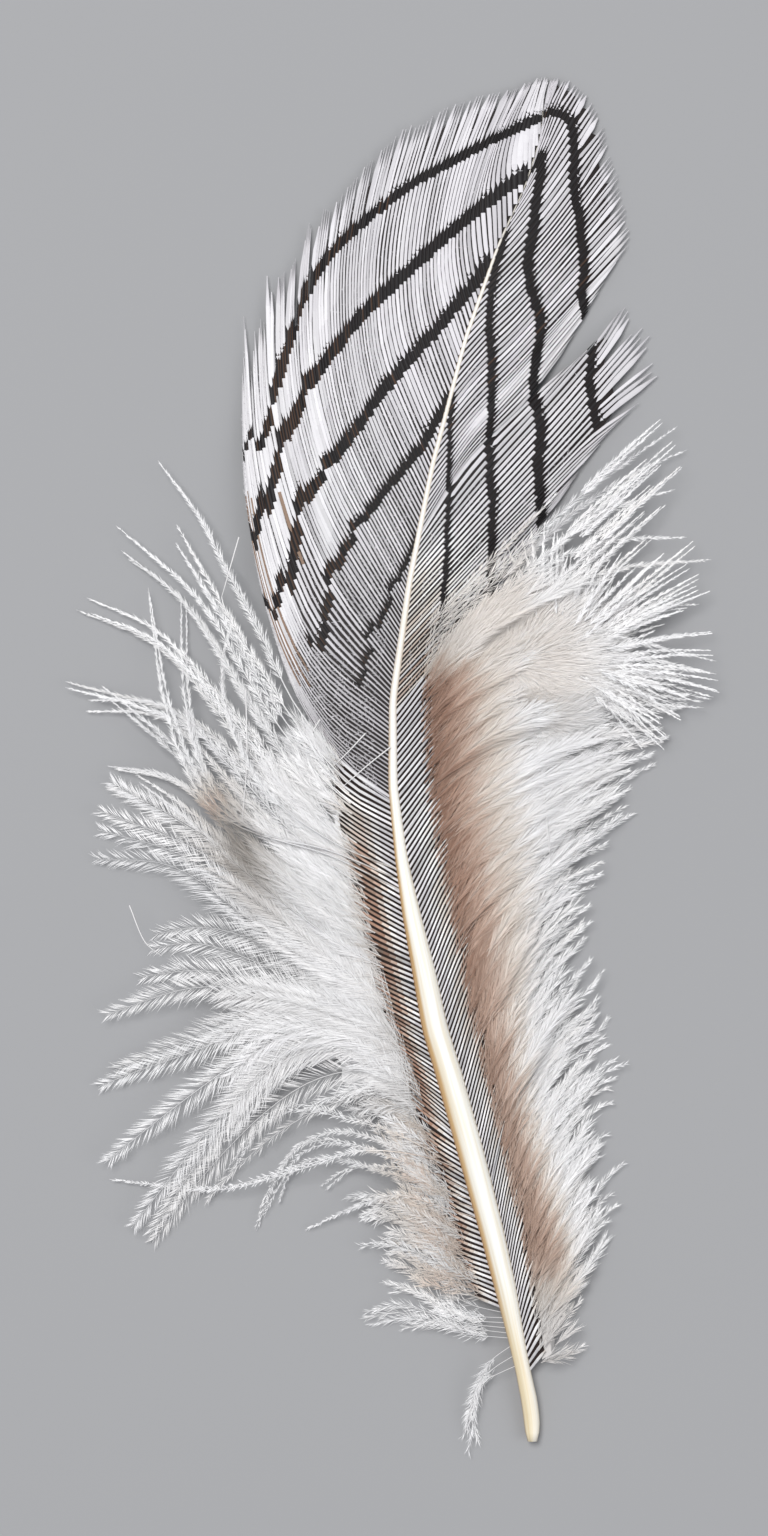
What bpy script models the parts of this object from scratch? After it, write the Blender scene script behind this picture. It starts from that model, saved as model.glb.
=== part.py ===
"""A barred turkey feather lying on a flat surface, convex side up.

One grown piece, split where it parts by itself: the shaft, the web of barbs on each side of it,
and the tufts of down along its lower half. The feather's length runs along +Y, its tip at +Y,
and it rests on the plane z = 0. Lengths below are in millimetres.
"""
import bmesh
import bpy
from mathutils import Vector

MM = 0.001

# Driving dimensions
SHAFT_ARCH = 3.6           # how far the shaft's middle rises off the surface
ARCH_MIDDLE = 2.0          # where along Y the arch is highest
ARCH_HALF = 61.6           # from the arch's middle to the quill's cut end
SHAFT_GAP = 0.35           # clear space between the shaft and what grows from it
WEB_THICKNESS = 0.4
WEB_DROOP = 1.6            # power of the fall from shaft to outer edge
EDGE_LIFT = 0.02           # outer edge of the web above the surface
TUFT_RIM = 0.7             # rounding of a tuft's rim

# The shaft's middle line from the quill's cut end to the tip: x, y, radius
SHAFT = (
    (12.55, -59.60, 0.62), (12.50, -58.20, 0.70), (12.30, -56.40, 0.72), (11.70, -53.50, 0.66),
    (10.10, -46.10, 0.82), (8.90, -41.10, 0.92), (7.10, -34.30, 1.00), (5.20, -27.50, 1.00),
    (3.90, -23.20, 0.98), (2.90, -18.10, 0.90), (1.80, -13.00, 0.76), (0.90, -8.00, 0.55),
    (0.20, -1.80, 0.42), (0.20, 5.60, 0.34), (1.70, 16.20, 0.27), (3.70, 26.30, 0.22),
    (6.60, 37.40, 0.18), (9.50, 45.70, 0.16), (11.90, 51.00, 0.15), (13.30, 55.50, 0.14),
    (13.60, 60.20, 0.13),
)

# Webs: pairs of where a barb leaves the shaft (y) and where it ends (x, y), bottom to tip
LEFT_WEB = (
    (-7.6, (-4.2, -1.9)), (-5.4, (-5.8, 1.2)), (-3.2, (-8.1, 6.1)), (-1.0, (-10.2, 12.2)),
    (1.2, (-11.7, 17.1)), (3.8, (-12.6, 23.3)), (8.5, (-13.2, 33.8)), (14.0, (-12.6, 36.9)),
    (19.5, (-10.8, 41.1)), (25.0, (-7.7, 44.8)), (31.0, (-6.4, 48.4)), (36.5, (-4.0, 50.6)),
    (42.0, (-0.9, 54.3)), (47.0, (3.0, 57.0)), (51.0, (5.7, 58.2)), (55.0, (8.3, 59.2)),
    (59.0, (12.3, 60.2)),
)
RIGHT_LOWER_WEB = (
    (1.0, (1.9, 3.4)), (2.4, (3.5, 6.5)), (3.8, (5.7, 9.6)), (5.2, (7.9, 12.7)),
    (6.6, (10.1, 15.8)), (8.0, (12.3, 19.3)), (9.4, (14.6, 22.8)), (10.6, (16.3, 25.5)),
    (11.8, (18.5, 28.3)), (13.4, (23.0, 33.1)), (15.2, (22.0, 38.2)), (17.0, (21.6, 41.9)),
)
RIGHT_UPPER_WEB = (
    (19.0, (14.9, 34.3)), (21.0, (15.6, 36.9)), (24.0, (17.3, 40.0)), (27.0, (19.3, 43.5)),
    (31.5, (21.1, 46.0)), (37.0, (20.7, 48.8)), (43.0, (19.8, 52.3)), (48.0, (19.2, 54.5)),
    (52.5, (18.5, 56.7)), (56.0, (17.6, 58.7)), (59.0, (15.0, 60.4)),
)

# Tufts of down: height, and an outline through the tips of the fibres
TUFTS = {
    "down_left_upper": (6.0, (
        (3.0, -24.6), (1.2, -18.6), (0.1, -13.0), (-1.0, -8.4), (-4.6, -3.2), (-6.9, 0.9), (-9.1, 6.0),
        (-11.2, 12.2), (-12.7, 17.4), (-13.6, 22.0), (-16.8, 24.4), (-20.7, 26.8), (-24.0, 20.9),
        (-27.1, 14.4), (-28.95, 6.8), (-27.0, 1.0), (-25.9, -6.0), (-24.6, -9.4), (-20.3, -12.0),
        (-14.1, -16.8), (-8.0, -21.2), (-3.6, -23.6))),
    "down_left_middle": (5.0, (
        (3.3, -26.0), (4.6, -30.9), (0.8, -30.6), (-3.4, -26.8), (-8.0, -27.2), (-13.6, -34.4),
        (-16.4, -37.6), (-21.2, -42.2), (-24.4, -36.9), (-25.8, -33.6), (-25.8, -27.8),
        (-25.6, -22.1), (-23.4, -18.6), (-23.0, -13.4), (-20.0, -12.9), (-14.4, -17.4),
        (-8.2, -21.9), (-3.6, -24.4))),
    "down_left_lower": (3.6, (
        (5.0, -32.0), (7.0, -40.0), (8.6, -47.3), (2.6, -45.0), (-1.4, -43.6), (-0.9, -40.4),
        (-7.5, -41.2), (-11.9, -41.6), (-15.9, -37.4), (-13.0, -34.6), (-7.6, -28.4),
        (-3.2, -27.8), (0.8, -31.4))),
    "tuft_left_base": (2.4, (
        (8.9, -48.3), (9.5, -50.6), (1.9, -51.3), (-2.2, -50.8), (-3.0, -49.2), (-3.0, -45.0),
        (-0.2, -44.5), (4.4, -46.6))),
    "wisp_left_base": (1.6, (
        (9.9, -51.5), (10.4, -53.4), (7.7, -55.3), (7.6, -59.9), (6.9, -60.45), (4.7, -58.9),
        (5.5, -54.7), (7.7, -53.0))),
    "down_right_upper": (8.5, (
        (1.4, -2.8), (1.6, 0.2), (3.4, 4.4), (6.5, 9.0), (10.8, 15.0), (13.1, 18.5), (15.6, 22.4),
        (20.2, 28.0), (24.8, 32.1), (25.6, 26.2), (26.8, 19.9), (28.3, 15.2), (28.95, 6.3), (25.6, 1.6),
        (20.4, -3.3), (16.7, -4.0), (13.2, -3.2), (7.0, -2.8))),
    "down_right_middle": (7.0, (
        (1.6, -3.6), (7.0, -3.6), (13.2, -4.0), (16.7, -4.8), (18.3, -8.5), (18.0, -12.0),
        (17.6, -17.3), (18.8, -21.7), (20.0, -26.2), (14.9, -28.3), (6.9, -27.7), (5.6, -23.4),
        (4.5, -17.3), (3.2, -11.1), (2.0, -7.0))),
    "down_right_lower": (5.0, (
        (7.2, -28.6), (14.9, -29.1), (20.4, -26.9), (20.1, -34.9), (20.2, -38.4), (19.3, -41.5),
        (18.5, -47.2), (17.6, -49.9), (17.4, -53.6), (15.8, -54.1), (13.0, -53.2), (12.4, -50.4),
        (11.6, -46.1), (10.3, -41.1), (8.7, -35.0))),
}

# Name: colour, roughness
FINISHES = {
    "quill_horn": ((0.86, 0.76, 0.60), 0.38),
    "barred_web": ((0.80, 0.78, 0.79), 0.62),
    "white_down": ((0.86, 0.86, 0.87), 0.85),
}


def clear_scene():
    """Remove whatever the file holds."""
    for thing in list(bpy.data.objects):
        bpy.data.objects.remove(thing)


def finish(name):
    """A new material in the named finish."""
    colour, roughness = FINISHES[name]
    material = bpy.data.materials.new(name)
    material.use_nodes = True
    shader = material.node_tree.nodes["Principled BSDF"]
    shader.inputs["Base Color"].default_value = (*colour, 1.0)
    shader.inputs["Roughness"].default_value = roughness
    shader.inputs["Metallic"].default_value = 0.0
    return material


def place(name, data, finish_name, collection):
    """Put a mesh or a curve in the feather's collection under its own name, in its own finish."""
    piece = bpy.data.objects.new(name, data)
    data.materials.append(finish(finish_name))
    collection.objects.link(piece)
    return piece


def between(rows, where, key, value):
    """Straight-line reading of value(row) at where, along rows sorted by key(row)."""
    for low, high in zip(rows, rows[1:]):
        if where <= key(high):
            share = max(0.0, (where - key(low)) / (key(high) - key(low)))
            return value(low) * (1 - share) + value(high) * share
    return value(rows[-1])


def shaft_height(y, radius):
    """Middle of the shaft above the surface: it arches from the quill's end to the tip."""
    away = min(1.0, abs(y - ARCH_MIDDLE) / ARCH_HALF)
    return radius + SHAFT_ARCH * (1 - away * away)


def shaft_at(y):
    """The shaft's x, height and radius at y."""
    x = between(SHAFT, y, lambda row: row[1], lambda row: row[0])
    radius = between(SHAFT, y, lambda row: row[1], lambda row: row[2])
    return x, shaft_height(y, radius), radius


def make_shaft(collection):
    """Quill and rachis: one tapering round rod with flat ends."""
    curve = bpy.data.curves.new("shaft", "CURVE")
    curve.dimensions = "3D"
    curve.bevel_depth = MM
    curve.bevel_resolution = 2
    curve.use_fill_caps = True
    spline = curve.splines.new("POLY")
    spline.points.add(len(SHAFT) - 1)
    for point, (x, y, radius) in zip(spline.points, SHAFT):
        point.co = (x * MM, y * MM, shaft_height(y, radius) * MM, 1.0)
        point.radius = radius
    place("shaft", curve, "quill_horn", collection)


def make_web(name, pairs, side, collection):
    """One web: a sheet from the shaft's flank down to its outer edge, given a thickness.

    side is -1 for the web left of the shaft and +1 for the one on its right.
    """
    across = 5
    sheet = bmesh.new()
    bmesh.ops.create_grid(sheet, x_segments=across, y_segments=len(pairs) - 1, size=1.0)
    for vert in sheet.verts:
        share = (vert.co.x + 1) / 2
        root_y, (end_x, end_y) = pairs[round((vert.co.y + 1) / 2 * (len(pairs) - 1))]
        x, height, radius = shaft_at(root_y)
        root = Vector((x + side * (radius + SHAFT_GAP), root_y, height - WEB_THICKNESS))
        end = Vector((end_x, end_y, EDGE_LIFT))
        spot = root.lerp(end, share)
        spot.z = root.z + (end.z - root.z) * share ** WEB_DROOP
        vert.co = Vector((spot.x, spot.y, max(spot.z, EDGE_LIFT))) * MM
    bmesh.ops.recalc_face_normals(sheet, faces=sheet.faces)
    if sum(face.normal.z for face in sheet.faces) < 0:
        bmesh.ops.reverse_faces(sheet, faces=sheet.faces)
    mesh = bpy.data.meshes.new(name)
    sheet.to_mesh(mesh)
    sheet.free()
    piece = place(name, mesh, "barred_web", collection)
    wall = piece.modifiers.new("thickness", "SOLIDIFY")
    wall.thickness = WEB_THICKNESS * MM
    wall.offset = 1.0


def make_tuft(name, height, outline, collection):
    """One tuft of down as a plain cushion: its outline given a height, with a rounded rim."""
    curve = bpy.data.curves.new(name, "CURVE")
    curve.dimensions = "2D"
    curve.fill_mode = "BOTH"
    curve.extrude = (height / 2 - TUFT_RIM) * MM
    curve.bevel_depth = TUFT_RIM * MM
    curve.bevel_resolution = 1
    curve.offset = -TUFT_RIM * MM
    spline = curve.splines.new("POLY")
    spline.use_cyclic_u = True
    spline.points.add(len(outline) - 1)
    for point, (x, y) in zip(spline.points, outline):
        point.co = (x * MM, y * MM, 0.0, 1.0)
    piece = place(name, curve, "white_down", collection)
    piece.location.z = height / 2 * MM


def main():
    clear_scene()
    feather = bpy.data.collections.new("feather")
    bpy.context.scene.collection.children.link(feather)
    make_shaft(feather)
    make_web("vane_left", LEFT_WEB, -1, feather)
    make_web("vane_right_upper", RIGHT_UPPER_WEB, 1, feather)
    make_web("vane_right_lower", RIGHT_LOWER_WEB, 1, feather)
    for name, (height, outline) in TUFTS.items():
        make_tuft(name, height, outline, feather)


main()
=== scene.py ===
"""A barred turkey feather with its down, laid on a pale floor."""
import math

import bmesh
import bpy
import numpy as np
from bpy.props import FloatProperty, FloatVectorProperty, IntProperty, PointerProperty
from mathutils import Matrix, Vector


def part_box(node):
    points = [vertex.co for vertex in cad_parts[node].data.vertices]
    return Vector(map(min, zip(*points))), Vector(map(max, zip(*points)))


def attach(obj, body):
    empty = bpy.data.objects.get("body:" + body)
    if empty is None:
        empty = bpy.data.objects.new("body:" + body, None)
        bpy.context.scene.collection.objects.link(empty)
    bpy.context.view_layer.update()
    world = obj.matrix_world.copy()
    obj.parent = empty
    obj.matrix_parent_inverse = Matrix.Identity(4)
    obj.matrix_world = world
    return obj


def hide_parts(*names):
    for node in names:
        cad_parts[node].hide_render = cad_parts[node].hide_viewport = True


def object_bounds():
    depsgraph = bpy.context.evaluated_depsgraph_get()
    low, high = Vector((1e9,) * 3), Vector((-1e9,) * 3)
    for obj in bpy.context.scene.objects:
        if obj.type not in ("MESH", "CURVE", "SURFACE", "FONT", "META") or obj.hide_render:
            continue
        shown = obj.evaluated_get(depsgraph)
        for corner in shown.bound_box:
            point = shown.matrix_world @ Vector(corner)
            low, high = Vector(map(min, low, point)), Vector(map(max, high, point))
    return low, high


bl_info = {
    "name": "Barred Turkey Feather",
    "version": (1, 0, 0),
    "blender": (4, 5, 0),
    "location": "View3D > Sidebar > Feather",
    "description": "Shaft, vanes and down of one barred feather, combed on the packed frame",
    "category": "Object",
}

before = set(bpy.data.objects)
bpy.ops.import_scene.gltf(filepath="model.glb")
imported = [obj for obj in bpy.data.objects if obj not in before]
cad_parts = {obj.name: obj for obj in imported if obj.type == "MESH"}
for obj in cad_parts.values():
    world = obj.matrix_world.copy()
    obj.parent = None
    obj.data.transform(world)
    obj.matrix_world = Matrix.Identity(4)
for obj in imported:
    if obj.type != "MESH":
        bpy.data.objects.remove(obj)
CAD_LOW, CAD_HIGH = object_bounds()

# One millimetre of this feather, and the middle of its underside, both taken from the frame.
FEATHER_LENGTH = 120.9
MM = (CAD_HIGH.y - CAD_LOW.y) / FEATHER_LENGTH
MIDDLE = np.array([(CAD_LOW.x + CAD_HIGH.x) / 2, (CAD_LOW.y + CAD_HIGH.y) / 2, CAD_LOW.z])
HALF_WIDTH = (CAD_HIGH.x - CAD_LOW.x) / 2 / MM
CAD_DEPTH = (CAD_HIGH.z - CAD_LOW.z) / MM
VANE_POINTS, DOWN_POINTS, HAIR_POINTS = 24, 22, 12  # points along a line of each kind
PUFF_FUR, PUFF_BARBS = 17000, 110  # hairs on the puff, and barbs that stand out from it
SOFT_TOP = 0.8  # millimetres below the top of the CAD box within which high fibres flatten out

# Stations on the tint ramp that every barb and barbule takes its colour from.
BLACK, UMBER, AMBER, TAN, ROSE, BLUSH, CREAM, WHITE, PEARL = (
    0.03, 0.13, 0.22, 0.32, 0.42, 0.53, 0.66, 0.82, 0.96)
TINT_COLOURS = (
    (BLACK, (0.008, 0.006, 0.007)), (UMBER, (0.045, 0.024, 0.016)),
    (AMBER, (0.240, 0.130, 0.070)), (TAN, (0.350, 0.265, 0.205)),
    (ROSE, (0.430, 0.250, 0.175)), (BLUSH, (0.650, 0.480, 0.385)),
    (CREAM, (0.840, 0.765, 0.690)), (WHITE, (0.985, 0.975, 0.970)),
    (PEARL, (0.700, 0.675, 0.700)))

# Guide barbs in millimetres from the middle of the feather: the height of the root on the
# shaft, then the points that the barb passes on its way to its tip.
LEFT_VANE = (
    (57.6, (13.5, 59.0), (13.9, 60.4)),
    (53.0, (12.6, 55.4), (13.0, 57.6), (13.7, 60.4)),
    (45.0, (9.0, 48.2), (8.9, 51.6), (10.0, 55.9), (12.1, 60.1)),
    (41.5, (7.2, 44.3), (7.0, 47.9), (7.9, 51.6), (9.3, 55.6), (11.1, 59.7)),
    (32.4, (3.7, 36.1), (2.7, 39.7), (2.4, 43.5), (2.7, 47.3), (3.7, 52.2), (5.7, 58.2)),
    (25.5, (0.9, 31.0), (-0.9, 35.5), (-1.5, 40.0), (-1.5, 44.3), (-0.7, 49.5), (0.9, 55.6)),
    (21.0, (-0.7, 27.0), (-2.6, 32.2), (-3.6, 37.5), (-3.8, 42.5), (-3.4, 47.4), (-2.4, 52.5)),
    (14.3, (-1.6, 19.3), (-4.5, 24.6), (-6.4, 30.1), (-7.4, 36.0), (-7.5, 41.5), (-7.0, 46.9)),
    (8.2, (-5.0, 15.3), (-8.5, 23.3), (-10.4, 32.1), (-10.8, 41.1)),
    (4.8, (-6.4, 10.5), (-9.7, 18.0), (-11.9, 27.7), (-12.6, 36.7)),
    (1.7, (-6.2, 6.5), (-10.1, 14.0), (-12.4, 24.1), (-13.2, 35.6)),
    (-1.0, (-5.1, 2.6), (-8.9, 8.7), (-11.3, 15.8), (-12.7, 23.3), (-13.1, 30.3)),
    (-3.2, (-4.0, -0.1), (-8.0, 5.6), (-10.6, 12.7), (-12.2, 19.3)),
)
RIGHT_VANE_UPPER = (
    (57.6, (13.8, 59.0), (14.1, 60.4)),
    (54.6, (13.6, 57.4), (14.7, 60.3)),
    (51.0, (13.6, 54.6), (14.8, 57.6), (16.1, 60.0)),
    (47.3, (12.6, 50.5), (15.0, 54.4), (17.6, 58.6)),
    (41.2, (11.6, 44.8), (14.9, 48.7), (19.2, 54.7)),
    (35.0, (8.7, 37.9), (11.5, 40.7), (15.6, 45.4), (20.2, 51.1)),
    (31.0, (7.7, 34.2), (10.9, 37.3), (15.1, 42.0), (20.8, 48.3)),
    (27.4, (7.3, 31.2), (10.9, 34.9), (14.6, 38.9), (21.0, 45.9)),
    (24.2, (7.4, 29.6), (10.5, 33.0), (14.3, 37.4), (19.5, 43.7)),
    (20.5, (6.6, 26.6), (11.8, 32.0), (15.6, 36.9)),
)
RIGHT_VANE_LOWER = (
    (20.1, (6.6, 26.2), (11.6, 31.4), (14.6, 34.2)),
    (19.1, (7.7, 26.0), (13.1, 31.8), (17.3, 36.2)),
    (17.7, (7.9, 24.6), (13.6, 31.0), (18.5, 36.9), (21.5, 41.8)),
    (14.7, (7.9, 21.5), (14.8, 29.0), (18.9, 33.8), (22.2, 37.5)),
    (12.0, (7.4, 18.4), (14.8, 26.1), (18.9, 30.3), (23.0, 33.1)),
    (10.5, (7.4, 17.3), (13.6, 23.7), (18.4, 28.5)),
    (7.0, (5.2, 11.8), (10.1, 16.9), (14.6, 22.8)),
    (4.6, (3.9, 8.5), (7.4, 12.2), (10.5, 15.8)),
)

# Each dark bar: how long it is along a barb, then the line that it follows over the vane.
LEFT_BARS = (
    (0.72, (13.9, 57.4), (12.0, 56.6), (10.2, 55.6), (7.0, 54.0), (2.6, 51.5), (-0.9, 49.0),
     (-4.0, 46.2), (-6.5, 43.1), (-8.7, 37.9), (-10.4, 31.6), (-11.7, 29.0), (-13.7, 27.7)),
    (0.95, (13.6, 53.5), (11.6, 51.8), (9.6, 50.3), (6.6, 47.9), (1.7, 43.5), (-2.7, 39.1),
     (-6.8, 33.8), (-9.7, 27.7), (-11.8, 21.5), (-13.7, 18.4)),
    (0.9, (9.6, 45.5), (7.0, 41.6), (3.0, 37.1), (-0.9, 32.5), (-4.9, 27.0), (-8.0, 21.9),
     (-9.7, 15.3), (-12.5, 13.6)),
    (0.62, (5.6, 33.5), (3.0, 28.5), (-0.9, 23.3), (-4.4, 18.0), (-6.9, 10.0)),
    (0.30, (2.6, 21.0), (0.0, 14.9), (-3.6, 7.4)),
)
RIGHT_BARS = (
    (0.72, (12.6, 56.9), (13.4, 57.2), (14.3, 57.3), (15.4, 56.9), (16.1, 55.3), (16.2, 50.5),
     (16.8, 46.3), (17.1, 43.6), (16.9, 41.1), (17.7, 36.1), (17.5, 33.5), (18.2, 29.4)),
    (0.80, (11.6, 51.7), (12.8, 52.9), (13.3, 53.3), (13.2, 51.8), (12.8, 49.0), (12.1, 43.8),
     (12.5, 41.2), (13.1, 38.8), (12.6, 33.4), (13.2, 29.4), (13.0, 25.9), (13.4, 19.7)),
    (0.60, (10.5, 48.3), (9.5, 44.6), (8.7, 40.5), (8.8, 34.7), (8.6, 27.7), (8.9, 21.5),
     (8.8, 14.4)),
    (0.34, (5.6, 33.8), (5.1, 29.4), (5.1, 25.0), (4.4, 10.9)),
)

LEFT_DOWN = (
    (-2.9, (-4.0, -0.1), (-8.4, 5.2), (-11.3, 10.9), (-14.6, 17.1), (-16.8, 21.5), (-20.7, 27.0)),
    (-4.2, (-3.9, -1.9), (-8.0, 2.6), (-11.3, 7.4), (-14.6, 12.7), (-19.4, 20.9)),
    (-5.6, (-3.9, -3.2), (-8.1, 1.1), (-11.9, 6.5), (-16.8, 14.4), (-24.0, 20.8)),
    (-7.1, (-3.9, -4.5), (-8.3, -0.5), (-12.4, 5.2), (-17.7, 13.6), (-23.3, 18.3)),
    (-8.6, (-3.8, -5.8), (-8.5, -1.9), (-12.8, 3.4), (-20.3, 11.4), (-27.0, 14.4)),
    (-10.2, (-3.7, -7.4), (-8.7, -3.3), (-13.3, 1.7), (-20.3, 10.0), (-27.5, 13.3)),
    (-11.8, (-3.6, -9.0), (-8.7, -4.9), (-13.7, 0.4), (-19.9, 4.3), (-28.6, 6.8)),
    (-13.3, (-3.4, -10.6), (-8.5, -6.7), (-14.1, -1.0), (-19.9, 4.6), (-27.3, 5.1)),
    (-15.1, (-3.1, -12.4), (-8.1, -8.6), (-14.0, -3.2), (-19.9, 1.7), (-25.8, 6.9)),
    (-16.8, (-2.9, -14.4), (-7.8, -11.1), (-13.4, -6.3), (-18.5, -1.4), (-24.5, -0.3)),
    (-18.9, (-2.5, -16.8), (-7.4, -13.6), (-12.9, -8.9), (-17.7, -4.5), (-21.8, -1.4)),
    (-20.6, (-2.2, -18.1), (-6.2, -14.6), (-11.1, -9.8), (-16.8, -5.8), (-24.8, -1.2)),
    (-22.1, (-1.8, -19.5), (-6.4, -15.9), (-11.5, -12.0), (-17.7, -8.0), (-25.7, -5.2)),
    (-23.4, (-1.4, -20.8), (-6.4, -17.4), (-11.9, -13.7), (-18.5, -9.2), (-25.6, -8.6)),
    (-24.8, (-0.9, -22.1), (-6.2, -19.5), (-11.1, -16.8), (-15.9, -15.3), (-19.6, -15.9)),
    (-25.9, (-0.5, -23.3), (-5.3, -20.8), (-10.6, -19.5), (-16.8, -18.3), (-22.8, -18.9)),
    (-27.0, (0.0, -24.3), (-4.9, -21.8), (-10.6, -20.1), (-17.7, -19.7), (-25.4, -22.2)),
    (-28.1, (0.4, -25.2), (-4.4, -22.6), (-10.2, -21.5), (-16.8, -24.3), (-25.7, -27.8)),
    (-29.2, (0.8, -26.3), (-4.0, -23.4), (-9.3, -22.7), (-15.5, -26.1), (-25.5, -33.7)),
    (-30.5, (1.3, -27.4), (-3.6, -24.3), (-8.9, -24.8), (-14.1, -29.6), (-22.3, -40.2)),
    (-31.8, (1.7, -28.5), (-3.1, -25.2), (-8.0, -25.9), (-12.8, -30.0), (-21.2, -41.9)),
    (-34.0, (3.5, -32.2), (0.4, -30.0), (-2.2, -27.7)),
    (-39.7, (4.8, -38.0), (1.9, -34.9), (-0.5, -30.9)),
    (-43.9, (5.9, -42.8), (3.0, -40.9), (0.0, -38.9), (-3.1, -39.5)),
    (-47.7, (7.0, -46.3), (4.4, -44.8), (1.3, -43.3), (-1.1, -43.0)),
    (-48.8, (7.0, -48.6), (4.4, -47.4), (2.2, -45.5), (-0.4, -44.4)),
    (-49.9, (6.6, -49.4), (2.6, -48.5), (0.0, -48.1), (-3.0, -49.0)),
    (-50.6, (7.0, -50.3), (3.5, -49.9), (-0.2, -50.0)),
    (-50.8, (7.0, -50.6), (3.9, -50.7), (1.8, -51.2)),
)
LEFT_UPRIGHT_PLUMES = (
    (-9.3, (-5.3, -6.7), (-11.3, -2.3), (-14.3, 3.9), (-14.8, 8.3), (-14.0, 12.0)),
    (-10.2, (-5.3, -7.6), (-12.4, -5.8), (-16.8, -2.3), (-19.9, 5.6), (-21.5, 15.3)),
    (-11.1, (-5.3, -8.0), (-11.9, -5.8), (-15.9, -1.4), (-17.8, 5.6), (-18.1, 14.4)),
)
LEFT_THREADS = (
    (-35.8, (2.6, -34.4), (-2.7, -34.0), (-8.0, -35.6), (-15.5, -37.5), (-24.5, -36.6)),
    (-36.2, (3.5, -34.0), (-0.5, -32.1), (-4.0, -31.2), (-8.0, -30.3), (-11.3, -31.5), (-14.8, -36.6)),
    (-37.4, (3.5, -35.3), (-0.5, -33.3), (-4.4, -32.3), (-8.0, -33.6), (-10.2, -37.1), (-11.8, -41.2)),
    (-37.7, (3.7, -35.9), (-0.5, -34.4), (-4.9, -33.4), (-8.1, -34.4), (-10.1, -37.5), (-11.2, -40.0)),
    (-38.4, (3.7, -37.1), (-0.5, -35.8), (-5.8, -34.6), (-8.7, -35.9), (-10.0, -38.9)),
    (-39.1, (3.9, -37.7), (0.4, -35.6), (-3.6, -35.8), (-6.0, -37.6)),
    (-40.0, (4.4, -38.9), (0.4, -38.0), (-3.6, -39.3), (-7.6, -41.1)),
)
WISP = (
    (-51.2, (8.9, -52.5), (8.0, -54.1), (7.4, -56.0), (7.2, -58.5), (6.9, -60.4)),
    (-51.6, (9.0, -52.9), (7.7, -54.7), (6.8, -56.5), (5.7, -58.2), (4.8, -58.6)),
    (-53.0, (9.5, -53.7), (7.9, -54.6), (7.4, -56.5), (7.3, -58.2), (7.7, -59.9)),
)
RIGHT_DOWN = (
    (8.1, (3.9, 12.6), (7.7, 16.8), (11.4, 20.6), (14.6, 23.8)),
    (7.4, (5.2, 13.4), (10.5, 18.6), (15.8, 23.7), (20.7, 27.8), (24.1, 30.7)),
    (6.0, (5.2, 12.0), (10.4, 16.8), (15.3, 21.3), (20.2, 24.4), (25.5, 26.2)),
    (4.3, (5.2, 10.2), (10.5, 14.4), (15.7, 17.4), (20.2, 19.0), (26.7, 19.7)),
    (2.1, (5.2, 7.8), (10.7, 11.6), (16.2, 13.9), (22.0, 14.7), (28.1, 15.2)),
    (-0.1, (5.2, 5.4), (10.8, 8.8), (16.6, 10.2), (22.3, 9.4), (28.6, 7.9)),
    (-3.4, (5.2, 1.9), (10.6, 5.4), (16.4, 7.2), (21.8, 7.4), (28.2, 6.0)),
    (-7.0, (4.8, -2.0), (10.4, 2.4), (16.5, 4.8), (21.3, 5.6), (26.2, 5.7)),
    (-12.0, (5.0, -7.0), (10.2, -2.6), (15.4, 0.2), (20.2, 2.0), (24.6, 2.6)),
    (-17.2, (5.9, -11.6), (10.4, -7.4), (15.0, -4.2), (19.2, -1.8), (22.9, -0.2)),
    (-21.8, (6.8, -15.9), (10.8, -11.2), (14.6, -7.8), (17.6, -5.4), (20.4, -3.4)),
    (-27.4, (7.7, -21.7), (10.5, -15.9), (13.6, -11.5), (16.5, -9.8), (18.5, -9.2)),
    (-33.1, (9.1, -27.0), (11.4, -21.7), (14.1, -17.7), (16.0, -15.9), (17.2, -14.6)),
    (-39.1, (10.4, -33.1), (12.5, -27.8), (15.1, -24.3), (17.6, -22.6), (18.8, -20.8)),
    (-44.4, (11.4, -39.3), (13.6, -34.0), (16.0, -30.0), (18.3, -27.4), (20.4, -26.6)),
    (-48.6, (12.3, -44.6), (14.5, -40.2), (16.7, -36.6), (18.7, -34.4), (19.7, -34.0)),
    (-51.8, (13.2, -49.0), (15.4, -45.5), (17.4, -42.8), (18.9, -40.6), (20.0, -39.7)),
    (-52.7, (13.6, -50.3), (15.6, -47.7), (17.4, -45.5), (18.7, -43.9)),
    (-53.4, (13.9, -51.2), (15.8, -49.4), (17.4, -48.1)),
    (-54.1, (13.2, -53.0), (14.9, -52.7), (17.4, -53.0)),
)


# The round puff at the top of the right down: its middle, its three radii, the point from
# which its fur parts, and the tips of the longest hairs that stand out from it.
PUFF_CENTRE = (14.1, 9.0, 2.7)
PUFF_RADII = (5.2, 5.8, 3.4)
PUFF_PARTING = (9.8, 8.8)
PUFF_SPIKES = (
    (26.6, 19.6), (24.0, 18.5), (26.3, 17.2), (27.1, 16.7), (26.8, 15.6), (28.1, 15.2),
    (25.3, 14.5), (25.5, 13.5), (28.3, 11.5), (28.2, 10.0), (28.6, 7.9), (28.9, 6.3),
    (26.2, 7.5), (26.2, 5.7), (25.5, 4.1), (24.2, 2.3), (18.0, 20.4))
PUFF_SPRAY = (
    (23.7, 30.3), (24.8, 28.4), (22.5, 26.8), (23.8, 26.3), (25.4, 26.1), (22.8, 24.5),
    (24.2, 22.8), (19.2, 23.4), (22.3, 22.2), (21.5, 22.1), (16.9, 22.7), (23.0, 19.8))
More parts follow.
